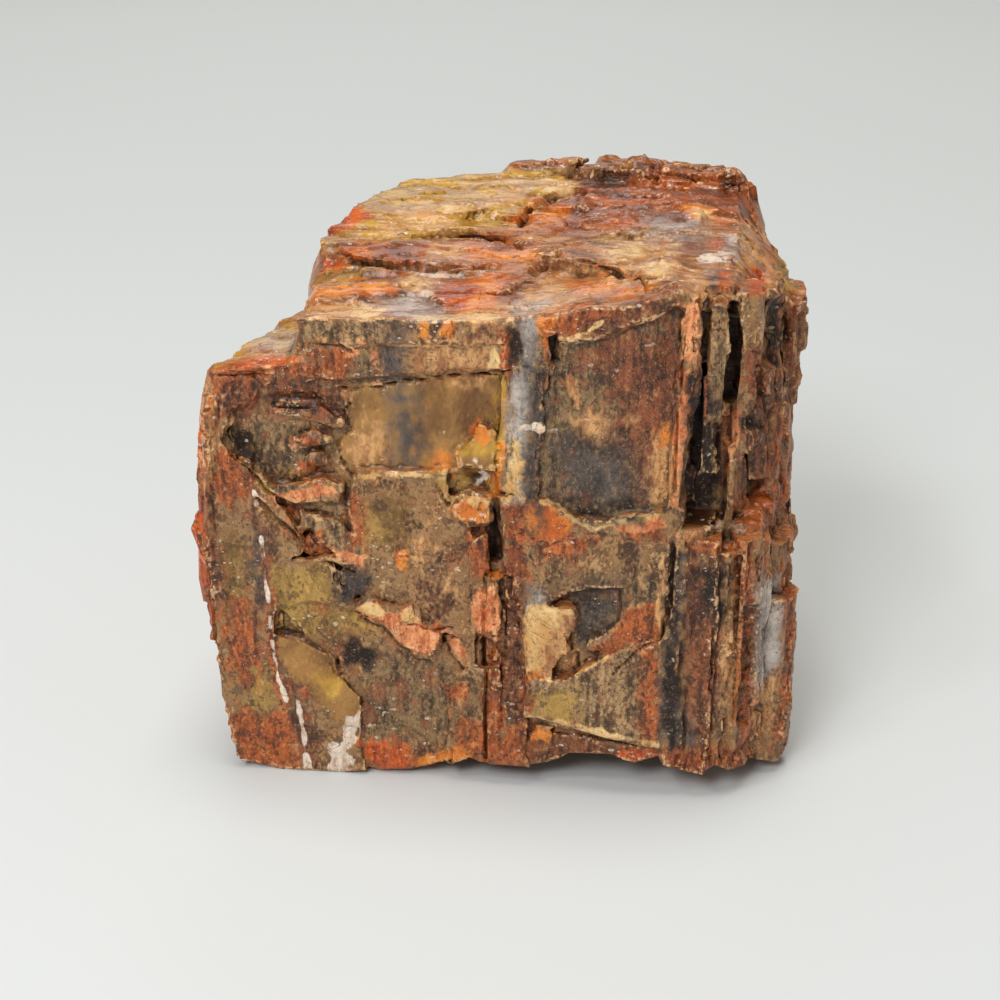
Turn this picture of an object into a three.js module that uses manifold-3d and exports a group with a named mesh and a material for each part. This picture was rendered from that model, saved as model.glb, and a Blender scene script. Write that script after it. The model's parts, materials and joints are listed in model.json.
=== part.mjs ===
// A block of rainbow petrified wood: one piece of agatized log, broken along its growth layers.
// The log's grain stands upright (+Z). The growth layers are sheets that lie across the block,
// parallel to the front face, and are stacked from front (-Y) to back (+Y). Their ends make the
// splintered right side, their upper edges the streaked top, and the outermost ones have flaked
// off the front in patches. The block rests on the level parts of its broken underside.
// Units are millimetres, +X right, +Z up, the origin under the middle of the block at floor level.
import * as THREE from "three";
import { mergeVertices } from "three/addons/utils/BufferGeometryUtils.js";
import Module from "manifold-3d";

const wasm = await Module();
wasm.setup();

// Driving dimensions
const HEIGHT = 125;
const FRONT_Y = -54;
const FRONT_ROOT_Y = -47;
const BACK_ROOT_Y = 53;
const SHEETS = 20;
const SHEET_OVERLAP = 1.8;
const SHEET_JITTER = 1.1;
const STEP_BREAK = 0.6;
const CUT_MARGIN = 30;

// A repeatable number from 0 to 1 for a pair of counters
function chance(a, b) {
  const wave = Math.sin(a * 127.1 + b * 311.7 + 74.7) * 43758.5453;
  return wave - Math.floor(wave);
}

// A repeatable number from -1 to 1
const swing = (a, b) => 2 * chance(a, b) - 1;

// The value of a broken line of [position, value] points at a position
function along(line, at) {
  if (at <= line[0][0]) return line[0][1];
  for (let i = 1; i < line.length; i++) {
    const [from, low] = line[i - 1];
    const [to, high] = line[i];
    if (at <= to) return low + ((high - low) * (at - from)) / (to - from);
  }
  return line[line.length - 1][1];
}

// A closed geometry as a solid for joining and cutting
function solidOf(geometry) {
  const bare = geometry.index ? geometry.toNonIndexed() : geometry.clone();
  bare.deleteAttribute("normal");
  bare.deleteAttribute("uv");
  const merged = mergeVertices(bare, 1e-3);
  return new wasm.Manifold(
    new wasm.Mesh({
      numProp: 3,
      vertProperties: merged.attributes.position.array,
      triVerts: new Uint32Array(merged.index.array),
    }),
  );
}

function shapeOf(outline) {
  return new THREE.Shape(outline.map(([a, b]) => new THREE.Vector2(a, b)));
}

// An outline of [x, z] points as a sheet from yFront back to yBack
function sheet(outline, yFront, yBack) {
  const options = { depth: yBack - yFront, bevelEnabled: false };
  const geometry = new THREE.ExtrudeGeometry(shapeOf(outline), options);
  geometry.rotateX(Math.PI / 2);
  geometry.translate(0, yBack, 0);
  return solidOf(geometry);
}

// An outline of [x, y] points as an upright column from zLow to zHigh
function column(outline, zLow, zHigh) {
  const options = { depth: zHigh - zLow, bevelEnabled: false };
  const geometry = new THREE.ExtrudeGeometry(shapeOf(outline), options);
  geometry.translate(0, 0, zLow);
  return solidOf(geometry);
}

// A big box whose near face passes through a point and faces the block, for a fracture plane
function beyondPlane(point, outward) {
  const size = 2 * HEIGHT;
  const geometry = new THREE.BoxGeometry(size, size, size);
  geometry.translate(0, 0, size / 2);
  const turn = new THREE.Quaternion().setFromUnitVectors(
    new THREE.Vector3(0, 0, 1),
    new THREE.Vector3(...outward).normalize(),
  );
  geometry.applyQuaternion(turn);
  geometry.translate(...point);
  return solidOf(geometry);
}

// Plan of the block: how far left and right it reaches at each depth, at mid height
const LEFT_PLAN = [[-54, -64], [-46, -69], [-30, -68], [-5, -64], [25, -59], [54, -50]];
const RIGHT_PLAN = [[-54, 57], [-44, 61], [-30, 66.5], [-12, 67.5], [8, 66], [30, 64], [54, 57]];
// The upper block starts right of a shoulder that has broken away
const UPPER_LEFT_PLAN = [[-54, -42.5], [-30, -45], [-4, -48.5], [20, -44], [36, -38], [54, -24]];
const SHOULDER_HEIGHT = [[-54, 102.5], [-20, 101.5], [5, 97], [54, 86]];
const SHOULDER_PLAN = [[-54, -63], [-44, -61], [-36, -58], [-22, -55.5], [-5, -53], [20, -49], [54, -30]];
// The sides lean in towards the foot and towards the top
const LEFT_LEAN = [[0, 5], [10, 3.4], [28, 1.2], [48, 0], [62, 0], [84, 1.6]];
const RIGHT_LEAN = [[0, -4], [10, -1.2], [25, 0], [48, 0], [60, -2.5], [75, -3.5], [95, -1], [125, -4]];

// Heights of the top along X, at stations from front to back
const TOP_STATIONS = [
  { y: -54, line: [[-45, 113], [-38, 114], [-10, 114], [5, 115], [20, 119], [35, 122], [60, 119]] },
  { y: -30, line: [[-45, 114], [-38, 115.5], [-10, 116], [5, 117], [20, 119.5], [40, 122], [60, 119]] },
  { y: -6, line: [[-49, 115], [-38, 117.5], [-10, 117.5], [20, 119], [45, 121.5], [58, 119], [66, 112]] },
  { y: 12, line: [[-48, 117], [-38, 120.5], [-10, 121.5], [5, 120], [45, 121.5], [58, 118], [66, 108]] },
  { y: 38, line: [[-40, 110], [-36, 118], [-20, 121], [-8, 121.5], [41, 123], [53, 121], [62, 111]] },
  { y: 54, line: [[-40, 100], [-22, 112], [-12, 120], [-6, 124], [41, 124.6], [53, 123], [62, 111]] },
];

// The underside is broken away under the front right, and level over most of the rest
const FOOT_FALL = [[-54, 1], [-42, 0.9], [-24, 0.35], [-8, 0], [30, 0], [54, 0.1]];

function topHeight(x, y) {
  for (let i = 1; i < TOP_STATIONS.length; i++) {
    const near = TOP_STATIONS[i - 1];
    const far = TOP_STATIONS[i];
    if (y <= far.y) {
      const share = Math.max(0, (y - near.y) / (far.y - near.y));
      return (1 - share) * along(near.line, x) + share * along(far.line, x);
    }
  }
  return along(TOP_STATIONS[TOP_STATIONS.length - 1].line, x);
}

// A broken edge: steps of uneven length between two positions, each with its own setback
function brokenEdge(from, to, steps, seed, place, setback) {
  const points = [];
  const way = Math.sign(to - from);
  let at = from;
  for (let i = 0; way * (to - at) > steps.shortest; i++) {
    const end = at + way * (steps.shortest + (steps.longest - steps.shortest) * chance(seed, i));
    const stop = way * (to - end) > steps.shortest ? end : to;
    const offset = setback * swing(seed + 0.5, i);
    const slant = 0.3 * setback * swing(seed, i);
    points.push(place(at + way * STEP_BREAK, offset), place(stop - way * STEP_BREAK, offset + slant));
    at = stop;
  }
  return points;
}

// The steps that the broken edges of the layers make, shortest and longest
const FOOT_STEPS = { shortest: 12, longest: 26 };
const RIGHT_STEPS = { shortest: 10, longest: 30 };
const CREST_STEPS = { shortest: 9, longest: 24 };
const LEFT_STEPS = { shortest: 10, longest: 28 };

// One growth layer of the block, seen from the front: foot, right end, crest, shoulder, left end
function layerOutline(y, seed) {
  const left = (z) => along(LEFT_PLAN, y) + along(LEFT_LEAN, z);
  const right = (z) => along(RIGHT_PLAN, y) + along(RIGHT_LEAN, z);
  const lift = (x) => along(FRONT_FOOT, x) * along(FOOT_FALL, y);
  const upperLeft = along(UPPER_LEFT_PLAN, y);
  const shoulderEnd = along(SHOULDER_PLAN, y);
  const shoulder = along(SHOULDER_HEIGHT, y) + 0.7 * swing(seed, 3);
  const ragged = 1.1 + 1.9 * chance(seed, 7);
  const recess = 4.5 * Math.max(0, swing(seed, 9));
  const low = (x, o) => [x, Math.max(0, lift(x) + o)];
  const foot = brokenEdge(left(0) + 3, right(0) - 4, FOOT_STEPS, seed + 1, low, 1.7);
  const rightEnd = brokenEdge(6, 108, RIGHT_STEPS, seed + 2, (z, o) => [right(z) - recess + o, z], ragged);
  const crest = brokenEdge(52, upperLeft + 2, CREST_STEPS, seed + 3, (x, o) => [x, topHeight(x, y) + o], 0.9);
  const leftEnd = brokenEdge(85, 5, LEFT_STEPS, seed + 4, (z, o) => [left(z) + o, z], 0.8);
  return [
    ...foot,
    [right(2) - recess - 2, lift(60) + 3],
    ...rightEnd,
    [56 - recess, topHeight(56, y) - 3],
    ...crest,
    [upperLeft - 0.6, topHeight(upperLeft, y) - 4],
    [upperLeft - 1, shoulder + 0.5],
    [shoulderEnd + 0.8, shoulder - 0.5],
    [shoulderEnd, shoulder - 1.5],
    ...leftEnd,
    [left(2) + 0.6, 2.6],
  ];
}

// The stack of growth layers between the flaked faces
function layerStack() {
  const pitch = (BACK_ROOT_Y - FRONT_ROOT_Y) / SHEETS;
  const layers = [];
  for (let i = 0; i < SHEETS; i++) {
    const start = FRONT_ROOT_Y + pitch * i + (i > 0 ? SHEET_JITTER * swing(i, 1) : 0);
    const end = Math.min(FRONT_ROOT_Y + pitch * (i + 1) + SHEET_OVERLAP, BACK_ROOT_Y);
    layers.push(sheet(layerOutline(start + pitch / 2, i * 10), start, end));
  }
  return layers;
}

// Level lands of the underside, on which the block rests: plan outlines in [x, y]
const LANDS = [
  [[-52, -40], [-38, -50], [-24, -47], [-12, -36], [-14, -20], [-30, -12], [-50, -16]],
  [[-46, 6], [-20, -2], [6, -6], [30, 0], [46, 10], [50, 26], [34, 38], [4, 40], [-26, 36], [-42, 24]],
];
const LAND_DEPTH = 8;

// The flakes of the front face. Each has the depth of its surface and its outline in [x, z].
const FRONT_FLAKES = {
  deepPanel: {
    y: -50.2,
    outline: [
      [-62, 1], [-64, 40], [-63, 98], [-50, 101], [-43, 103], [-42, 112], [5, 113.5], [40, 120], [42, 60],
      [40.5, 9], [36, 6], [18, 8], [0, 5], [-20, 1],
    ],
  },
  leftCorner: {
    y: -54.6,
    outline: [
      [-61, 0.4], [-64.4, 22], [-65, 50], [-64, 78], [-63, 101], [-51, 102.6], [-40, 104], [-41, 99.5], [-49, 98.8],
      [-50.5, 95], [-57, 92.5], [-60, 86], [-57.5, 80.5], [-54, 79], [-49, 74.2], [-42, 75.2], [-37.5, 77.6],
      [-33.6, 75], [-34, 70.5], [-43, 70.2], [-49, 71.4], [-45, 66], [-42, 61], [-41, 58.6], [-47.5, 56],
      [-50, 50], [-50.2, 37], [-44, 35.8], [-38.6, 33], [-37, 29], [-34.5, 25], [-31.5, 21.5], [-30.4, 16],
      [-31.2, 9], [-30, 1], [-40, 0],
    ],
  },
  slotLip: { y: -53.2, outline: [[-48.5, 94], [-38, 93.6], [-33.5, 90], [-35, 88.4], [-41, 90.4], [-49, 91]] },
  brownChip: { y: -53.6, outline: [[-43.6, 86.2], [-40, 88.4], [-38.4, 88], [-36.2, 85.6], [-39, 84.8], [-43, 84.6]] },
  smallChip: { y: -53.4, outline: [[-42.4, 81], [-40, 83], [-37.6, 82.6], [-37.4, 79.6], [-40.5, 79.8]] },
  crackSlivers: {
    y: -53.3,
    outline: [[-44, 68.6], [-36, 67], [-33, 63], [-31.4, 58], [-34, 56.8], [-38.4, 60.4], [-43.4, 64.8]],
  },
  yellowLedge: {
    y: -54.1,
    outline: [
      [-49.6, 51], [-46.5, 55.6], [-37.2, 57], [-36.3, 51.6], [-32.2, 46.8], [-30.2, 43.8], [-41, 45.6], [-49.6, 43],
    ],
  },
  salmonFlake: {
    y: -55.2,
    outline: [
      [-31.4, 46], [-28.5, 48.4], [-25.5, 46.4], [-20.6, 45.6], [-18.4, 47.4], [-16.8, 42.4], [-12.4, 40.6],
      [-11.8, 36.6], [-14.4, 34.6], [-18.4, 35.2], [-21.6, 38.8], [-26.4, 41.6], [-31, 44],
    ],
  },
  centrePanel: {
    y: -53.4,
    outline: [
      [-29.8, 79], [-20, 79.4], [-10.2, 79.8], [-8.8, 74], [-6.6, 68], [-4, 64], [-3.4, 56], [-4.6, 48],
      [-4.2, 38], [-12, 39.6], [-17.4, 43], [-18.8, 47], [-20.8, 45.2], [-25.6, 45.6], [-28.6, 48],
      [-32.4, 47.6], [-34.8, 52], [-36, 56.4], [-31.6, 60], [-32.4, 70],
    ],
  },
  lowerPanel: {
    y: -52.4,
    outline: [
      [-31, 0.2], [-31.6, 20], [-36.6, 31], [-44.6, 37], [-50.4, 44], [-41, 46], [-26, 40.6], [-12, 36.2],
      [-4, 39], [-3.6, 5], [-10, 4], [-22, 1.2],
    ],
  },
  upperBand: { y: -54.7, outline: [[-41.8, 109], [-30, 108.4], [-8, 109.2], [4.6, 109.8], [5, 117], [-43, 115.6]] },
  upperBlock: {
    y: -53.8,
    outline: [[-42.4, 103.4], [-39.4, 101], [-33, 99.8], [-30.6, 100.4], [-29, 108], [-30, 112], [-42.6, 113]],
  },
  archPanel: { y: -53.1, outline: [[-30.4, 100.2], [-18, 101.4], [-7, 102.8], [5, 103.8], [5, 111], [-31, 111]] },
  pearKnob: {
    y: -54.2,
    outline: [[-7.6, 80.6], [-8, 84.6], [-4.4, 87.2], [-2.6, 91], [-0.4, 89.6], [0.2, 87.4], [1.2, 86.4], [1, 80.4]],
  },
  orangeBlob: {
    y: -55.1,
    outline: [[-9, 72.2], [-5, 74.8], [-0.6, 74.2], [0.2, 71], [-0.4, 68], [-4.4, 66.6], [-8, 69.4]],
  },
  blueRidge: { y: -53.6, outline: [[4.9, 74], [5, 116.4], [11.6, 117.4], [12.6, 105.4], [10.4, 92], [10.2, 74]] },
  yellowSplinter: { y: -52.6, outline: [[1, 75], [1.4, 88], [1.8, 103], [4.9, 103.4], [4.9, 75]] },
  darkPanel: { y: -51.9, outline: [[10, 72], [10, 112], [40, 119], [41, 70]] },
  conchoidLip: {
    y: -54.9,
    outline: [
      [10.4, 118.4], [10.6, 113.6], [12, 111.8], [15, 110.6], [19, 111], [24.5, 112.2], [29.6, 115],
      [34.8, 117], [40, 120], [41, 125], [20, 125],
    ],
  },
  panelLedge: {
    y: -54.4,
    outline: [
      [8.6, 46], [4.6, 50], [4.5, 74], [12.4, 74], [17, 71.6], [21.5, 70.2], [25, 70.6], [27, 71.9],
      [39.4, 74], [39.8, 49.4], [29.6, 47.6], [29, 53.4], [18, 51.6],
    ],
  },
  panelRust: {
    y: -54.1,
    outline: [[29.6, 48.4], [39.6, 50.4], [40, 42], [30.4, 36], [25.4, 35.4], [23.2, 38], [23.2, 40], [29.2, 45]],
  },
  creamPatch: {
    y: -54.7,
    outline: [[9.3, 47], [17.4, 48.2], [18.4, 44.4], [17, 40], [17, 36], [13, 29], [8, 29], [7.6, 36], [8.6, 41]],
  },
  lowerSlab: {
    y: -55.6,
    outline: [
      [8, 29.6], [12.8, 29], [19, 31.5], [26, 36.2], [32, 39.6], [39.2, 42], [40, 28], [39.8, 13],
      [31, 14.6], [19.5, 16.9], [8.4, 19.4],
    ],
  },
  footChip: { y: -53, outline: [[9.6, 12.4], [10, 16.4], [14.8, 15.4], [13, 12.6]] },
  footRight: { y: -52.2, outline: [[8, 4], [8.4, 13], [22, 13.6], [40, 11.8], [40, 5]] },
  columnLeftRim: {
    y: -55.3,
    outline: [[-4.4, 61], [-1.4, 66.6], [-0.9, 57], [-1, 54], [1.6, 53], [1.4, 42], [0.8, 38.6], [-3.8, 40.6]],
  },
  columnFoot: {
    y: -54.3,
    outline: [[-10.6, 3], [-9.6, 27], [-4.6, 30.4], [1.4, 30.8], [2.4, 21.4], [7.6, 19.8], [8.6, 15], [8, 3]],
  },
  columnRightRim: {
    y: -54.2,
    outline: [[2.9, 54.6], [2.2, 66], [1, 73.8], [5.4, 74], [8.8, 60], [9, 46], [7.8, 28], [6.8, 30], [6.6, 54.4]],
  },
  columnFloor: { y: -51.7, outline: [[0.6, 54.4], [7.4, 54.6], [7.6, 19.4], [0.8, 19.8]] },
  rightLamina: {
    y: -54.2,
    outline: [[38.8, 67], [38.6, 88], [39.8, 100], [40.2, 121.6], [43.2, 122], [43.4, 104], [42.6, 88], [41.2, 67]],
  },
};

// The front's lower and upper edges, which every flake keeps to
const FRONT_FOOT = [
  [-80, 3], [-60, 1.6], [-50, 0.2], [-32, 0], [-22, 1], [-15, 2.2], [-10, 4], [-5, 6], [0, 4.5], [10, 5],
  [15, 6.4], [18, 9], [28, 9], [31, 7.5], [35, 7.5], [39, 9.5], [42, 8], [45, 7], [55, 6.5], [80, 8.5],
];
const FRONT_CREST = [
  [-80, 99], [-62, 101.4], [-52, 102.8], [-43, 104], [-42.6, 113.4], [-38, 114], [-25, 114.4], [-10, 114],
  [0, 114.6], [10, 116.2], [20, 118.8], [28, 120.4], [40, 122.6], [44, 122.6], [80, 118],
];

function frontFace() {
  const flakes = Object.values(FRONT_FLAKES).map((f) => sheet(f.outline, f.y, FRONT_ROOT_Y + 1));
  const below = [...FRONT_FOOT, [80, -20], [-80, -20]];
  const above = [...FRONT_CREST, [80, 150], [-80, 150]].reverse();
  let face = wasm.Manifold.union(flakes);
  face = face.subtract(sheet(below, FRONT_Y - CUT_MARGIN, FRONT_ROOT_Y + 1.5));
  return face.subtract(sheet(above, FRONT_Y - CUT_MARGIN, FRONT_ROOT_Y + 1.5));
}

// The flakes left on the back, which is plainer than the front
const BACK_FLAKES = {
  middle: {
    y: 54.4,
    outline: [[-34, 3], [-40, 30], [-38, 52], [-24, 60], [-6, 58], [8, 66], [26, 62], [34, 40], [30, 14], [12, 2]],
  },
  upper: {
    y: 55.6,
    outline: [[-20, 64], [-30, 84], [-26, 104], [-8, 119], [10, 122], [14, 104], [6, 88], [10, 72], [-4, 63]],
  },
  rightStrip: {
    y: 55,
    outline: [[28, 60], [22, 78], [24, 100], [20, 121], [36, 123.4], [50, 119], [52, 96], [46, 70], [40, 50]],
  },
  lowLeft: { y: 55.4, outline: [[-20, 2], [-26, 20], [-16, 36], [0, 38], [10, 26], [4, 10]] },
  corner: { y: 54.2, outline: [[36, 6], [38, 40], [50, 64], [58, 60], [60, 20], [54, 8]] },
};

function backFace() {
  return Object.values(BACK_FLAKES).map((f) => sheet(f.outline, BACK_ROOT_Y - 1, f.y));
}

// Upright splinters of the right side: plan outline in [x, y], foot and head
const SPLINTERS = {
  granularStrip: {
    plan: [[39.4, -54], [40.2, -55], [42.4, -55.4], [43.8, -54.2], [44.4, -51], [44, -40], [39.4, -40]],
    foot: 7.6,
    head: 67.2,
  },
  purpleBand: {
    plan: [[43.6, -53], [45.2, -54.2], [47.4, -54.4], [49.6, -55.4], [50.8, -53.4], [51, -40], [43.6, -40]],
    foot: 6.6,
    head: 65.6,
  },
  tanRim: { plan: [[50.4, -52.6], [51.8, -54.4], [53.4, -53.8], [54, -50], [53, -40], [50, -40]], foot: 8.4, head: 63 },
  outerEdge: {
    plan: [[53.6, -51.6], [55.6, -53.4], [57.6, -52.4], [58.8, -49.4], [59.6, -45.6], [58, -38], [53, -38]],
    foot: 7,
    head: 66,
  },
  columnCap: {
    plan: [[40, -53.4], [41.6, -54.6], [45, -53.8], [47.6, -52.2], [49.6, -47], [49, -42], [40.4, -43]],
    foot: 60,
    head: 68.6,
  },
  outerRib: { plan: [[57.4, -50], [60, -48.6], [61.4, -44], [60, -36], [56, -38]], foot: 12, head: 63 },
  farPlate: {
    plan: [[59, -41], [64, -42], [67.4, -40.6], [69, -36], [67.6, -29], [68.4, -23], [67, -18], [59, -18]],
    foot: 2.6,
    head: 46,
  },
  farPlateTop: { plan: [[60, -39], [64.4, -38], [66.6, -33], [65.8, -20], [59, -19]], foot: 40, head: 58.5 },
  greyPlate: { plan: [[45.6, -50.4], [50.2, -49.4], [51, -40], [45.4, -40]], foot: 92.5, head: 119 },
  greyPlateLow: { plan: [[45, -48.6], [48.4, -47.8], [49.4, -40], [44.8, -40]], foot: 79, head: 95 },
  rustPlate: { plan: [[52.4, -46.4], [55.6, -45], [57.4, -38], [56, -33], [52.6, -34]], foot: 84, head: 120.4 },
  rustPlateLow: { plan: [[50.8, -47], [53.2, -46.6], [55.4, -38], [51, -36]], foot: 66, head: 86 },
  cornerBlock: { plan: [[43, -47], [51, -45], [51.8, -30], [42, -30]], foot: 112.6, head: 121.6 },
  innerPlate: { plan: [[56.4, -38.4], [59.6, -36.6], [61.6, -26], [57, -24]], foot: 74, head: 119.6 },
  sidePlate: { plan: [[58.4, -33], [63.2, -30], [64.6, -22], [60, -20]], foot: 55, head: 82 },
  outerPlate: { plan: [[62, -14], [66.4, -12], [67.8, -2], [67, 8], [60, 9]], foot: 84, head: 107.4 },
  outerWedge: { plan: [[60, -16], [64.4, -15], [66.2, -6], [62, 2]], foot: 62, head: 88 },
  cornerRibUpper: { plan: [[42.4, -50.6], [44.2, -49.8], [44.4, -42], [41, -42]], foot: 104, head: 121.4 },
};

function splinters() {
  return Object.values(SPLINTERS).map((s) => column(s.plan, s.foot, s.head));
}

// Hollows of the right side, where layers have fallen out between the splinters
const HOLLOWS = {
  cornerHollow: { plan: [[43.6, -60], [60, -60], [60, -41], [50.6, -41.6], [43, -43.4]], foot: 67, head: 130 },
  rustGap: { plan: [[50.4, -60], [70, -60], [70, -36], [56.6, -33], [51.2, -36]], foot: 68, head: 118 },
  lowGap: { plan: [[60.6, -60], [80, -60], [80, -41], [66, -40.6], [60.4, -37]], foot: -5, head: 66 },
  sideGap: { plan: [[57.6, -30], [72, -34], [72, -18], [61.6, -16.6]], foot: 76, head: 112 },
};

function hollows() {
  return Object.values(HOLLOWS).map((h) => column(h.plan, h.foot, h.head));
}

// Ledges of the top: plan outline in [x, y] and the height of the surface
const LEDGE_ROOT = 100;
const TOP_LEDGES = {
  yellowSlab: {
    plan: [
      [-43.6, 7], [-42, 3], [-38, 1], [-26, 2], [-15, 5], [-8, 10], [-2, 14], [-0.5, 27], [4, 34], [12, 37],
      [13, 46], [-2, 50], [-12, 45], [-21, 42], [-34, 36], [-40, 22],
    ],
    top: 122.4,
  },
  yellowSlabStep: { plan: [[-47, -3], [-40, -6], [-26, -5], [-12, 0], [-4, 8], [-10, 14], [-43, 12]], top: 119.6 },
  middleStrip: { plan: [[-46, -16], [-30, -21], [-16, -24], [2, -22], [6, -12], [-8, -6], [-46, -5]], top: 118.2 },
  yellowMound: {
    plan: [[8, -26], [22, -31], [36, -37], [49, -36], [51, -18], [46, -6], [30, -10], [14, -14]],
    top: 121.8,
  },
  backRidge: { plan: [[14, 41], [24, 39], [38, 42], [52, 40], [55, 47], [50, 52.5], [16, 52.5]], top: 125 },
  backKnob: { plan: [[-8, 45], [2, 43], [10, 46], [12, 52.8], [-9, 52.8]], top: 125 },
};

function topLedges() {
  return Object.values(TOP_LEDGES).map((ledge) => column(ledge.plan, LEDGE_ROOT, ledge.top));
}

// Fracture planes that take off the block's corners
const FRACTURES = [
  { point: [-44, 54, 60], outward: [-0.8, 0.59, 0.06] },
  { point: [62.5, 52, 60], outward: [0.72, 0.69, 0.1] },
  { point: [0, 53.4, 20], outward: [0.04, 0.92, -0.3] },
  { point: [62.4, 12, 119.4], outward: [0.62, 0.12, 0.78] },
  { point: [64, 30, 4], outward: [0.7, 0.3, -0.65] },
  { point: [-64, 0, 4], outward: [-0.8, 0.1, -0.6] },
];

// Open cracks: thin wedges cut into the front, as outlines in [x, z] with a depth from the face
const CRACKS = [
  { outline: [[-33, 99], [-18, 100.4], [-7, 102], [5.2, 103], [5.2, 103.6], [-7, 102.9], [-18, 101.3]], y: -45 },
  { outline: [[-1.2, 66.4], [-0.6, 56.8], [2, 56.8], [1.2, 62], [0.4, 74]], y: -46 },
  { outline: [[40.4, 66], [41, 58], [40, 46], [39.6, 46], [40.2, 58], [39.6, 66]], y: -49 },
];

function cracks() {
  return CRACKS.map((crack) => sheet(crack.outline, FRONT_Y - CUT_MARGIN, crack.y));
}

function block() {
  const lands = LANDS.map((plan) => column(plan, 0, LAND_DEPTH));
  let body = wasm.Manifold.union([...layerStack(), ...lands, frontFace(), ...backFace()]);
  body = body.subtract(wasm.Manifold.union(hollows()));
  body = wasm.Manifold.union([body, ...splinters(), ...topLedges()]);
  const cuts = FRACTURES.map((f) => beyondPlane(f.point, f.outward));
  body = body.subtract(wasm.Manifold.union([...cuts, ...cracks()]));
  const largest = body.decompose().reduce((most, piece) => (piece.volume() > most.volume() ? piece : most));
  const { min, max } = largest.boundingBox();
  return largest.translate([-(min[0] + max[0]) / 2, -(min[1] + max[1]) / 2, -min[2]]);
}

// A solid's faces as a geometry with flat facets
function geometryOf(solid) {
  const mesh = solid.getMesh();
  const places = new Float32Array(mesh.numVert * 3);
  for (let i = 0; i < mesh.numVert; i++) {
    for (let k = 0; k < 3; k++) places[3 * i + k] = mesh.vertProperties[i * mesh.numProp + k];
  }
  const indexed = new THREE.BufferGeometry();
  indexed.setAttribute("position", new THREE.BufferAttribute(places, 3));
  indexed.setIndex(new THREE.BufferAttribute(mesh.triVerts, 1));
  const faceted = indexed.toNonIndexed();
  faceted.computeVertexNormals();
  return faceted;
}

const agate = new THREE.MeshStandardMaterial({ color: 0x8a5a3c, roughness: 0.45, metalness: 0 });
const stone = new THREE.Mesh(geometryOf(block()), agate);
stone.name = "petrified_wood";

const part = new THREE.Group();
part.add(stone);

export default part;
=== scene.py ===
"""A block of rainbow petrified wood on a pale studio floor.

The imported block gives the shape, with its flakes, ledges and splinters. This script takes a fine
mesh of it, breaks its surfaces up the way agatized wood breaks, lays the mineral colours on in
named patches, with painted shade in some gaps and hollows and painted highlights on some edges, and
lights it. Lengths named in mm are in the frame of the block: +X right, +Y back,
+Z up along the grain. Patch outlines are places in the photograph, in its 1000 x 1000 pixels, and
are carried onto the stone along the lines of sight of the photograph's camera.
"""

from __future__ import annotations

import itertools
import json
import logging
import math
from dataclasses import dataclass, field
from enum import Enum
from typing import Any

import bpy
import numpy as np
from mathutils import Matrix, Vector

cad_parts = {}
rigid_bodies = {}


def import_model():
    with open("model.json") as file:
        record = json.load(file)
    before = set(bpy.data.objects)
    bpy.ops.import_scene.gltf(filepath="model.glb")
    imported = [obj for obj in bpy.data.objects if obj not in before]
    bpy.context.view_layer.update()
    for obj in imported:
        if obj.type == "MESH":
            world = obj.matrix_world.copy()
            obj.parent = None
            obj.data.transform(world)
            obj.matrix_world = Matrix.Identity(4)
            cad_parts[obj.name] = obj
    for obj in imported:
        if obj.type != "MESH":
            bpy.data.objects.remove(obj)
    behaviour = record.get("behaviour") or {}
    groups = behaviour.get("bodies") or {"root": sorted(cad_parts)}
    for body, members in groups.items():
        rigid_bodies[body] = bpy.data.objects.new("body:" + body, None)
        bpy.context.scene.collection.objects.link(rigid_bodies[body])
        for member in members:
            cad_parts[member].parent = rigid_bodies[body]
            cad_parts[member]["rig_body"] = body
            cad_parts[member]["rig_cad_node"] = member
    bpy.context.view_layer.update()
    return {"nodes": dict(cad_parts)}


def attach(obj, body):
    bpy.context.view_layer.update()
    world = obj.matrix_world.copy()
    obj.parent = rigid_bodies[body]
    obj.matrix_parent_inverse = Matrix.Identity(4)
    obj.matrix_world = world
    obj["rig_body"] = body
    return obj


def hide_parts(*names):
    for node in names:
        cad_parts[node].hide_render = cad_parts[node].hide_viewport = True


LOG = logging.getLogger("petrified_wood")
MM = 0.001
TINY = 1e-9
Outline = list[tuple[float, float]]
Triple = tuple[float, float, float]
Colour = tuple[int, int, int]
Stops = tuple[tuple[float, Colour], ...]


class Tint(Enum):
    """The mineral colours, and a near-black that is also laid as painted shade in gaps and holes, in the order in
    which they are laid over one another.
    """

    UMBER = "umber"
    OLIVE = "olive"
    SLATE = "slate"
    RUST = "rust"
    PLUM = "plum"
    GOLD = "gold"
    OCHRE = "ochre"
    SAND = "sand"
    MIST = "mist"
    EMBER = "ember"
    ORANGE = "orange"
    SALMON = "salmon"
    INK = "ink"
    CREAM = "cream"
    CHALK = "chalk"
    # near-black of dark grains, also laid as painted shade in sunken gaps, holes and pockets
    SOOT = "soot"


class Side(Enum):
    """The faces of the block that a patch can lie on."""

    FRONT = "front"
    TOP = "top"
    RIGHT = "right"


class Mark(Enum):
    """What is stored on the mesh for its material, besides the colours."""

    FRONT = "face_front"
    TOP = "face_top"
    FLANK = "face_flank"
    EDGE = "edge_fine"
    HOLLOW = "edge_broad"


@dataclass(frozen=True)
class Pigment:
    """One mineral colour.

    Attributes:
        light: the lighter of the two tones it wanders between.
        dark: the darker of them.
        roughness: how dull it is.
        edge_mm: how wide its edge fades.
        ragged_mm: how far its edge wanders.
        glassy: whether its tones drift in broad clouds rather than in streaks.
    """

    light: Colour
    dark: Colour
    roughness: float = 0.42
    edge_mm: float = 0.5
    ragged_mm: float = 1.0
    glassy: bool = False


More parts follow.
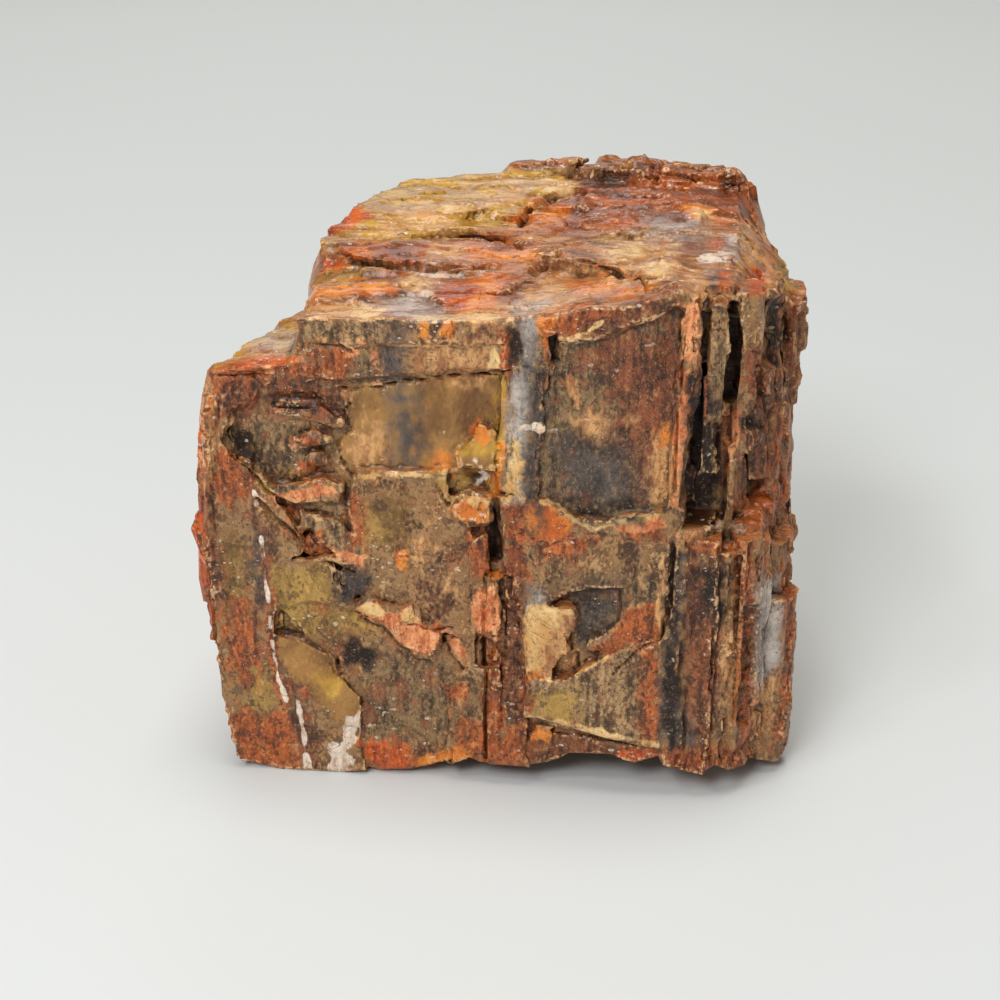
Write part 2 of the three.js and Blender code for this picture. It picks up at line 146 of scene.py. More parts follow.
PIGMENTS: dict[Tint, Pigment] = {
    Tint.UMBER: Pigment((186, 148, 102), (78, 54, 34), 0.38, 0.6, 1.4),
    Tint.OLIVE: Pigment((190, 150, 74), (122, 88, 40), 0.34, 1.1, 1.6, True),
    Tint.SLATE: Pigment((148, 116, 78), (62, 42, 26), 0.4, 0.7, 1.4),
    Tint.RUST: Pigment((190, 98, 42), (96, 44, 20), 0.38, 0.7, 1.6),
    Tint.PLUM: Pigment((146, 84, 50), (66, 34, 20), 0.4, 0.9, 1.8),
    Tint.GOLD: Pigment((180, 132, 70), (116, 76, 36), 0.22, 0.4, 0.5, True),
    Tint.OCHRE: Pigment((212, 166, 66), (164, 116, 42), 0.24, 0.8, 1.1, True),
    Tint.SAND: Pigment((224, 170, 110), (168, 110, 66), 0.3, 0.6, 1.5),
    Tint.MIST: Pigment((202, 190, 180), (126, 113, 106), 0.22, 1.0, 1.2, True),
    Tint.EMBER: Pigment((222, 104, 36), (150, 58, 20), 0.3, 0.6, 1.4),
    Tint.ORANGE: Pigment((242, 150, 54), (194, 94, 28), 0.24, 0.5, 1.2, True),
    Tint.SALMON: Pigment((244, 166, 108), (190, 98, 54), 0.34, 0.35, 1.2),
    Tint.INK: Pigment((98, 86, 78), (50, 40, 36), 0.3, 1.0, 1.4, True),
    Tint.CREAM: Pigment((244, 208, 146), (208, 154, 88), 0.28, 0.3, 1.0, True),
    Tint.CHALK: Pigment((242, 226, 206), (206, 174, 152), 0.36, 0.2, 1.1),
    # near-black for dark grains, and for painted shade in gaps, holes and pockets
    Tint.SOOT: Pigment((48, 28, 18), (20, 11, 7), 0.6, 0.6, 1.3),
}


@dataclass(frozen=True)
class Patch:
    """A patch of one colour.

    Attributes:
        tint: its colour.
        outline: its corners, or the points of its line if it has a width, in pixels.
        width: how wide a line it is, in pixels, or 0 for an area.
        soft: how much wider than its colour's own edge its edge fades.
        lift: how far it stands proud of the face around it, in mm.
    """

    tint: Tint
    outline: Outline
    width: float = 0.0
    soft: float = 1.0
    lift: float = 0.0


FRONT_PATCHES: dict[str, Patch] = {
    "corner_red": Patch(Tint.RUST, [
        (200, 368), (302, 362), (341, 371), (346, 385), (318, 382), (270, 380), (257, 403), (246, 417), (225, 409),
        (219, 427), (214, 439), (200, 398)]),
    "corner_edge": Patch(Tint.SAND, [(206, 372), (207, 400), (213, 440), (211, 465), (206, 487)], width=8, soft=2),
    "left_rust": Patch(Tint.RUST, [
        (213, 446), (227, 449), (243, 465), (254, 476), (257, 500), (228, 505), (205, 495), (209, 462)], soft=2),
    "upper_plum": Patch(Tint.PLUM, [
        (259, 403), (270, 376), (340, 383), (349, 425), (330, 420), (302, 413), (273, 413)], soft=1.6),
    "slot": Patch(Tint.SLATE, [(271, 393), (279, 390), (318, 391), (327, 403), (279, 406), (271, 401)], lift=-1.2),
    # Painted shade: a near-black line along the bottom of the sunken slot.
    "slot_line": Patch(Tint.SOOT, [(274, 404), (302, 407), (316, 404)], width=2.2, lift=-0.8),
    "pocket": Patch(Tint.SLATE, [
        (222, 430), (266, 422), (330, 430), (340, 446), (330, 462), (318, 476), (292, 489), (270, 492), (250, 468),
        (230, 452)], soft=1.5),
    # Painted shade: near-black in a shadowed pocket that is only a shallow dip.
    "hole": Patch(Tint.SOOT, [
        (235, 433), (249, 430), (256, 443), (254, 464), (247, 463), (237, 450)], soft=3.6, lift=-0.8),
    "pocket_chip": Patch(Tint.RUST, [
        (289, 439), (308, 433), (322, 442), (317, 446), (302, 444), (295, 449)], lift=0.8),
    "pocket_chip_low": Patch(Tint.RUST, [(298, 462), (313, 458), (318, 462), (316, 470), (301, 471)], lift=0.6),
    "ledge_red_top": Patch(Tint.ORANGE, [(301, 476), (322, 474), (316, 482), (305, 487)], lift=0.5),
    "ledge_red": Patch(Tint.SALMON, [
        (270, 493), (289, 495), (302, 489), (322, 482), (337, 492), (329, 496), (308, 498), (286, 504),
        (276, 502)]),
    "ledge_yellow": Patch(Tint.OCHRE, [(258, 482), (266, 490), (273, 495)], width=3),
    "below_ledge": Patch(Tint.RUST, [(276, 503), (300, 500), (302, 514), (290, 518)], soft=1.5),
    "grey_green": Patch(Tint.UMBER, [
        (300, 503), (345, 500), (352, 530), (345, 552), (318, 545), (300, 520)], soft=1.6),
    "tan_chip": Patch(Tint.CREAM, [(308, 513), (327, 515), (317, 522)], soft=1.2, lift=0.5),
    "lower_chips": Patch(Tint.RUST, [
        (297, 531), (321, 532), (330, 548), (347, 562), (331, 561), (302, 548)], soft=1.2, lift=0.6),
    "lower_chip_pink": Patch(Tint.SALMON, [(334, 551), (366, 558), (362, 567), (342, 562)], soft=1.6, lift=0.5),
    "left_tan": Patch(Tint.OLIVE, [(232, 604), (248, 600), (252, 660), (248, 690), (238, 680)], soft=4),
    "left_grey_line": Patch(Tint.PLUM, [(212, 494), (214, 545), (218, 600)], width=7, soft=2),
    "left_olive": Patch(Tint.OLIVE, [(222, 538), (244, 536), (246, 620), (232, 640), (225, 600)], soft=2.4),
    "left_plum_line": Patch(Tint.PLUM, [(253, 478), (256, 520), (258, 560)], width=8, soft=2),
    "left_ink_line": Patch(Tint.INK, [(256, 538), (257, 575), (261, 602)], width=8, soft=2.2),
    "streak_halo": Patch(Tint.RUST, [
        (263, 560), (269, 600), (273, 640), (279, 676), (288, 702)], width=10, soft=1.6),
    "streak": Patch(Tint.CHALK, [(254, 493), (256, 504)], width=3),
    "streak_upper": Patch(Tint.CHALK, [(261, 538), (264, 566), (268, 600), (271, 628)], width=1.8, soft=0.8),
    "streak_lower": Patch(Tint.CHALK, [(272, 640), (276, 662), (280, 684), (287, 700)], width=2, soft=0.8),
    "left_brown": Patch(Tint.RUST, [(222, 600), (252, 600), (262, 660), (244, 690), (228, 660)], soft=3),
    "lower_left_olive": Patch(Tint.OLIVE, [(240, 660), (270, 662), (276, 706), (262, 716), (246, 706)], soft=2),
    "lower_left_rust": Patch(Tint.RUST, [(226, 706), (262, 716), (300, 712), (304, 766), (244, 768)], soft=2.6),
    "flake_yellow": Patch(Tint.OLIVE, [
        (282, 570), (315, 565), (331, 567), (334, 596), (342, 603), (354, 610), (316, 600), (304, 608),
        (292, 584)], soft=1.6),
    "flake_olive": Patch(Tint.OLIVE, [
        (270, 566), (300, 574), (318, 600), (362, 614), (378, 628), (340, 636), (276, 634)], soft=2),
    "purple_dark": Patch(Tint.INK, [
        (333, 566), (352, 568), (369, 578), (366, 592), (356, 604), (342, 598)], soft=1.8),
    "salmon_flake": Patch(Tint.SALMON, [
        (356, 608), (376, 601), (388, 613), (397, 613), (411, 607), (420, 621), (419, 628), (440, 633), (436, 649),
        (429, 656), (415, 654), (397, 639), (383, 624), (361, 615)], lift=0.4),
    "salmon_orange": Patch(Tint.EMBER, [(418, 630), (438, 634), (434, 648), (422, 644)], soft=3),
    # Painted highlight: the next two cream patches brighten the salmon flake's upper-left edges, where light falls.
    "salmon_cream": Patch(Tint.CREAM, [(357, 608), (376, 602), (388, 612), (379, 618)], soft=1.6),
    "salmon_cream_tip": Patch(Tint.CREAM, [(399, 613), (412, 608), (419, 622), (401, 622)], soft=1.6),
    "spur": Patch(Tint.SALMON, [
        (448, 630), (456, 634), (466, 654), (470, 668), (462, 664), (452, 646)], soft=1.2, lift=0.4),
    # Painted shade: a near-black dip below the salmon flake's lower left.
    "dark_spot": Patch(Tint.SOOT, [
        (339, 645), (354, 640), (378, 647), (380, 656), (368, 670), (349, 666)], soft=2.6, lift=-0.6),
    "flake_brown": Patch(Tint.GOLD, [
        (279, 635), (304, 635), (326, 649), (333, 660), (334, 671), (346, 681), (361, 699), (362, 714), (354, 737),
        (344, 730), (315, 700), (311, 686), (297, 683), (284, 667), (278, 649)], soft=1.2),
    "flake_brown_yellow": Patch(Tint.OCHRE, [(315, 678), (333, 672), (344, 686), (330, 697)], soft=2),
    "flake_brown_edge": Patch(Tint.RUST, [(346, 690), (359, 702), (360, 716), (354, 728), (348, 712)], soft=1.6),
    "streak_two_halo": Patch(Tint.PLUM, [(300, 686), (298, 700), (305, 732), (310, 774)], width=13, soft=1.6),
    "streak_two": Patch(Tint.CHALK, [
        (297, 699), (301, 716), (304, 734), (306, 754), (309, 774)], width=3.6, soft=0.8),
    "streak_two_bump": Patch(Tint.RUST, [(297, 686), (309, 684), (311, 697), (300, 698)], lift=0.8),
    "white_patch": Patch(Tint.CHALK, [
        (347, 712), (356, 717), (354, 737), (348, 748), (352, 774), (331, 774), (329, 752), (342, 739)], soft=2),
    "red_foot": Patch(Tint.EMBER, [
        (356, 739), (378, 740), (394, 746), (410, 749), (412, 771), (386, 774), (368, 760),
        (361, 749)], soft=2, lift=0.3),
    "tan_foot": Patch(Tint.ORANGE, [
        (418, 757), (440, 750), (466, 746), (467, 757), (440, 764), (420, 769)], soft=2),
    "grey_ground": Patch(Tint.SLATE, [
        (360, 668), (400, 655), (440, 664), (474, 690), (474, 730), (420, 738), (364, 734)], soft=4),
    "rust_brick": Patch(Tint.RUST, [(445, 683), (467, 684), (467, 697), (446, 698)], soft=1.2, lift=0.3),
    "panel_olive": Patch(Tint.OLIVE, [(358, 500), (404, 498), (408, 538), (366, 546)], soft=4),
    "panel_rust": Patch(Tint.RUST, [(348, 494), (357, 494), (366, 546), (352, 546)], soft=2.2),
    "brick": Patch(Tint.ORANGE, [(396, 549), (408, 550), (407, 568), (398, 570)], lift=0.6),
    "thin_chip": Patch(Tint.SAND, [(412, 541), (424, 536), (432, 548), (424, 556), (414, 552)], soft=2.4, lift=0.5),
    "thin_chip_low": Patch(Tint.SAND, [(438, 578), (452, 580), (456, 592), (444, 594)], soft=2.4, lift=0.5),
    "panel_rim": Patch(Tint.CREAM, [(354, 478), (380, 475), (410, 474), (442, 478)], width=3.4),
    "golden_panel": Patch(Tint.GOLD, [
        (345, 384), (353, 400), (347, 408), (353, 428), (340, 440), (342, 455), (350, 470), (358, 477), (440, 474),
        (504, 474), (506, 378), (440, 377), (400, 381)]),
    "golden_grey": Patch(Tint.SLATE, [(348, 384), (392, 382), (394, 404), (372, 424), (354, 416)], soft=4),
    "golden_band": Patch(Tint.INK, [(402, 390), (406, 420), (409, 462)], width=20, soft=4.2),
    "golden_light": Patch(Tint.SAND, [(362, 444), (384, 436), (388, 460), (366, 466)], soft=9),
    "golden_amber": Patch(Tint.GOLD, [(422, 392), (438, 392), (438, 436), (424, 436)], soft=5),
    "golden_amber_low": Patch(Tint.ORANGE, [(424, 462), (450, 456), (450, 471), (426, 471)], soft=4),
    "yellow_column": Patch(Tint.OCHRE, [(499, 376), (500, 430), (498, 470), (494, 496)], width=11, soft=1.8),
    "yellow_tip": Patch(Tint.OCHRE, [(499, 408), (507, 424), (503, 440), (495, 443)]),
    "pear_olive": Patch(Tint.OLIVE, [(456, 452), (497, 452), (497, 470), (457, 470)]),
    "pear_yellow": Patch(Tint.OCHRE, [
        (457, 448), (471, 437), (487, 447), (496, 446), (497, 454), (457, 456)], soft=1.2),
    "pear_tip": Patch(Tint.ORANGE, [
        (480, 419), (488, 427), (489, 441), (485, 447), (471, 437), (471, 430)], soft=1.2),
    "crystal": Patch(Tint.ORANGE, [(497, 443), (506, 441), (507, 454), (503, 470), (498, 466)], lift=0.8),
    "crystal_low": Patch(Tint.ORANGE, [(494, 470), (502, 470), (500, 497), (492, 499)], lift=0.6),
    "hollow": Patch(Tint.OLIVE, [
        (432, 478), (456, 470), (475, 470), (488, 472), (482, 489), (468, 496), (449, 505), (440, 489)], lift=-0.4),
    "hollow_dark": Patch(Tint.SLATE, [(470, 473), (484, 472), (482, 485), (470, 482)], soft=1.6, lift=-0.8),
    "hollow_crust": Patch(Tint.CHALK, [
        (475, 461), (480, 468), (486, 474), (478, 484), (468, 493)], width=3.2, soft=1.2, lift=0.5),
    "hollow_rim": Patch(Tint.CREAM, [(430, 478), (444, 472), (457, 469)], width=2.4),
    "blob": Patch(Tint.ORANGE, [
        (451, 509), (463, 498), (482, 496), (491, 500), (490, 521), (476, 524), (461, 522), (452, 514)], lift=0.3),
    "blob_yellow": Patch(Tint.CREAM, [(464, 498), (482, 496), (490, 501), (478, 506), (462, 504)], soft=2.4),
    "blue_ridge": Patch(Tint.MIST, [
        (513, 392), (519, 371), (533, 372), (533, 400), (527, 440), (526, 500), (504, 500), (508, 436)], soft=2),
    "blue_ridge_cream": Patch(Tint.CREAM, [(508, 444), (519, 440), (518, 498), (505, 499)], soft=3),
    "blue_ridge_top": Patch(Tint.MIST, [(520, 316), (536, 314), (538, 350), (534, 372), (520, 372)], soft=1.6),
    "blue_shadow": Patch(Tint.INK, [(531, 368), (546, 372), (546, 420), (534, 440), (527, 436)], soft=2.4),
    "blue_shadow_low": Patch(Tint.INK, [(527, 440), (540, 440), (536, 500), (526, 500)], soft=3),
    "dash": Patch(Tint.CHALK, [(519, 429), (533, 427), (555, 431)], width=3.6, soft=1.2, lift=0.4),
    "red_vertical": Patch(Tint.EMBER, [(499, 330), (510, 334), (509, 369), (501, 371)], lift=0.3),
    "cream_by_red": Patch(Tint.CREAM, [(489, 352), (498, 344), (497, 370), (486, 370)], soft=1.2),
    # Painted shade: a near-black sunken strip beside the red strip.
    "dark_by_red": Patch(Tint.SOOT, [(509, 330), (521, 334), (519, 366), (510, 366)], soft=2, lift=-1.2),
    "amber_by_blue": Patch(Tint.ORANGE, [(536, 316), (552, 314), (552, 364), (546, 352), (540, 334)], soft=1.6),
    # Painted shade: near-black in a sunken pocket.
    "pocket_dark": Patch(Tint.SOOT, [(549, 338), (557, 336), (558, 360), (551, 362)], soft=1.6, lift=-1.5),
    "dark_panel": Patch(Tint.SLATE, [
        (545, 372), (556, 342), (600, 338), (640, 322), (684, 304), (690, 440), (676, 514), (600, 526), (552, 504),
        (532, 470)], soft=1.6),
    "dark_panel_deep": Patch(Tint.INK, [
        (560, 440), (600, 446), (636, 470), (628, 496), (600, 508), (560, 484)], soft=5),
    "dark_panel_red": Patch(Tint.PLUM, [
        (600, 350), (680, 330), (682, 420), (664, 500), (632, 500), (626, 430)], soft=4),
    "dark_panel_shadow": Patch(Tint.SOOT, [
        (572, 500), (600, 508), (634, 500), (634, 514), (600, 523), (574, 514)], soft=4),
    "strip": Patch(Tint.SAND, [
        (562, 372), (573, 372), (577, 391), (584, 405), (578, 409), (572, 398), (566, 384)], lift=0.7),
    "pale_patch": Patch(Tint.SAND, [
        (574, 420), (585, 412), (599, 414), (605, 433), (602, 446), (580, 434)], soft=2.4),
    "mottled": Patch(Tint.SAND, [(652, 436), (678, 428), (677, 505), (656, 512), (650, 470)], soft=2.4),
    "mottled_orange": Patch(Tint.ORANGE, [(656, 432), (674, 426), (674, 448), (660, 446)], soft=2.6),
    "right_lamina": Patch(Tint.SALMON, [
        (683, 372), (692, 364), (691, 419), (678, 491), (673, 507), (674, 436), (680, 402)], soft=1.4),
    "lip": Patch(Tint.RUST, [
        (546, 318), (598, 302), (640, 291), (672, 283), (682, 284), (680, 292), (654, 300), (624, 317), (600, 332),
        (580, 338), (556, 336), (549, 332)], soft=1.6),
    "lip_under": Patch(Tint.PLUM, [
        (590, 326), (654, 298), (684, 290), (686, 316), (650, 324), (600, 342)], soft=2.6),
    "lip_edge": Patch(Tint.CREAM, [(549, 336), (566, 339), (585, 334), (602, 322)], width=2.4),
    "ledge_orange": Patch(Tint.ORANGE, [
        (529, 502), (550, 504), (561, 514), (573, 520), (568, 532), (550, 543), (534, 539), (527, 520)], soft=1.8),
    "ledge_rust": Patch(Tint.RUST, [(527, 520), (568, 528), (600, 540), (580, 556), (540, 556)], soft=3.5),
    "ledge_ink": Patch(Tint.INK, [(537, 502), (538, 532)], width=8, soft=2),
    # Painted highlight: a cream line where the ledge's upper edge catches the light.
    "ledge_rim": Patch(Tint.CREAM, [
        (542, 501), (556, 504), (573, 519), (595, 530), (611, 523), (637, 518), (668, 515)], width=3.6, soft=1.2),
    "ledge_red_right": Patch(Tint.SALMON, [(600, 524), (668, 516), (667, 527), (624, 530)], soft=1.6),
    "ledge_red_under": Patch(Tint.RUST, [(625, 530), (666, 527), (664, 540), (630, 538)], soft=2.4),
    # Painted shade: near-black in the sunken groove.
    "groove": Patch(Tint.SOOT, [(491, 505), (496, 506), (500, 524), (497, 566), (492, 564)], soft=1.4, lift=-0.6),
    "groove_right": Patch(Tint.RUST, [
        (500, 502), (526, 502), (526, 540), (530, 580), (505, 580), (505, 524)], soft=1.4),
    "groove_left": Patch(Tint.RUST, [(466, 528), (489, 524), (489, 576), (474, 584)], soft=1.8),
    "groove_ledge": Patch(Tint.ORANGE, [(488, 569), (504, 570), (504, 579), (489, 580)], lift=0.4),
    "knobs": Patch(Tint.SALMON, [
        (478, 588), (494, 586), (500, 604), (499, 618), (495, 634), (479, 634), (472, 612)], soft=1.4, lift=0.8),
    "band_dark": Patch(Tint.PLUM, [
        (504, 571), (526, 581), (526, 622), (522, 666), (520, 724), (503, 700), (504, 622)], soft=1.6),
    "band_left": Patch(Tint.RUST, [(486, 628), (503, 622), (504, 760), (486, 760)], soft=2),
    "band_right": Patch(Tint.RUST, [(521, 660), (527, 640), (530, 716), (524, 760), (516, 760)], soft=1.6),
    "lower_red": Patch(Tint.RUST, [(460, 724), (530, 724), (540, 764), (500, 772), (462, 756)], soft=4),
    "cream_patch": Patch(Tint.SAND, [
        (531, 607), (570, 606), (574, 620), (568, 630), (570, 646), (577, 648), (576, 662), (570, 673), (548, 679),
        (546, 673), (527, 671), (525, 654), (527, 628)], lift=0.3),
    "cream_patch_light": Patch(Tint.CREAM, [
        (531, 608), (552, 607), (556, 626), (542, 650), (538, 670), (527, 671), (525, 654)], soft=2.4),
    "cream_patch_top": Patch(Tint.CREAM, [(530, 606), (570, 606), (572, 616), (550, 614)], soft=1.6),
    "cream_patch_orange": Patch(Tint.ORANGE, [(530, 664), (545, 670), (547, 678), (528, 678)], soft=1.6),
    "mist_step": Patch(Tint.MIST, [(530, 588), (542, 590), (540, 604), (531, 605)], soft=2),
    # Its dark brown is partly painted shade, under the ledge.
    "recess": Patch(Tint.SLATE, [
        (570, 588), (603, 577), (640, 575), (660, 577), (657, 606), (624, 609), (616, 628), (600, 638), (592, 647),
        (575, 642), (571, 622)], soft=1.6),
    # Painted shade: darker still at the recess's upper left, under the ledge.
    "recess_dark": Patch(Tint.INK, [(578, 596), (610, 588), (612, 622), (590, 640), (578, 632)], soft=4),
    "red_flake": Patch(Tint.RUST, [
        (619, 611), (638, 605), (660, 603), (664, 630), (656, 638), (636, 642), (619, 650), (605, 658), (593, 652),
        (591, 644), (603, 640), (616, 628)], lift=0.4),
    # Painted highlight: a pale line on the red flake's upper-left edge, where light falls.
    "red_flake_edge": Patch(Tint.SAND, [(591, 646), (604, 639), (616, 627), (622, 611), (640, 605)], width=2.2),
    "slab": Patch(Tint.UMBER, [
        (527, 681), (568, 679), (603, 660), (642, 642), (660, 638), (658, 744), (574, 726), (529, 715)]),
    "slab_yellow": Patch(Tint.OLIVE, [(533, 698), (572, 694), (575, 726), (530, 716)], soft=3.2),
    "slab_red": Patch(Tint.RUST, [(643, 644), (658, 640), (658, 742), (640, 738)], soft=2.4),
    # Painted highlight: a cream line along the slab's upper edge, where light falls.
    "slab_rim": Patch(Tint.CREAM, [(548, 679), (570, 677), (587, 668), (607, 657)], width=3.2, soft=1.2),
    "slab_foot_rim": Patch(Tint.CREAM, [(529, 717), (574, 727), (615, 736), (657, 745)], width=3, soft=1.6),
    "under_slab": Patch(Tint.PLUM, [
        (530, 722), (600, 738), (656, 748), (656, 772), (600, 764), (530, 764)], soft=2),
    "left_edge": Patch(Tint.RUST, [
        (208, 404), (207, 440), (204, 480), (205, 560), (208, 620), (214, 700)], width=16, soft=3, lift=1.3),
    "left_edge_bump": Patch(Tint.EMBER, [(198, 420), (199, 462)], width=9, soft=2, lift=0.6),
    "left_edge_bump_low": Patch(Tint.EMBER, [(197, 506), (201, 612)], width=8, soft=2, lift=0.4),
    "under_slab_chip": Patch(Tint.ORANGE, [(533, 728), (556, 731), (546, 741), (533, 740)], soft=1.4, lift=0.4),
    "under_slab_red": Patch(Tint.EMBER, [(616, 744), (654, 750), (652, 766), (620, 762)], soft=3),
    "under_slab_olive": Patch(Tint.OLIVE, [(560, 744), (606, 746), (606, 760), (566, 760)], soft=3),
    "rim_tan": Patch(Tint.SAND, [(664, 556), (673, 552), (669, 622), (664, 640), (657, 618)], soft=1.2),
    "top_band_brown": Patch(Tint.UMBER, [(294, 318), (386, 316), (386, 342), (352, 346), (296, 342)], soft=2),
    "top_band_ink": Patch(Tint.INK, [(396, 318), (396, 350), (392, 376)], width=17, soft=3),
    "top_brick": Patch(Tint.ORANGE, [(421, 320), (428, 322), (426, 338), (418, 338)], soft=1.2),
    "top_brick_right": Patch(Tint.ORANGE, [(442, 317), (455, 315), (452, 337), (443, 337)], soft=1.2),
    "top_cream": Patch(Tint.SAND, [(458, 315), (500, 314), (500, 326), (470, 328)], soft=3),
    "arch": Patch(Tint.SALMON, [(351, 352), (360, 344), (372, 350), (378, 366), (378, 384)], width=4, soft=1.6),
    "arch_inner": Patch(Tint.SLATE, [(356, 352), (368, 350), (374, 368), (374, 382), (360, 378)], soft=1.6),
    "band_line": Patch(Tint.SAND, [(300, 341), (350, 340), (420, 340), (490, 342)], width=1.6, soft=1.4),
    "upper_tan": Patch(Tint.SAND, [(412, 346), (470, 345), (486, 350), (484, 369), (412, 374)], soft=4.5),
    "corner_dark": Patch(Tint.PLUM, [
        (216, 410), (246, 418), (262, 396), (300, 384), (256, 380), (222, 392)], soft=2.4),
    "left_of_arch": Patch(Tint.RUST, [(300, 346), (340, 346), (352, 368), (346, 384), (310, 366)], soft=3),
}

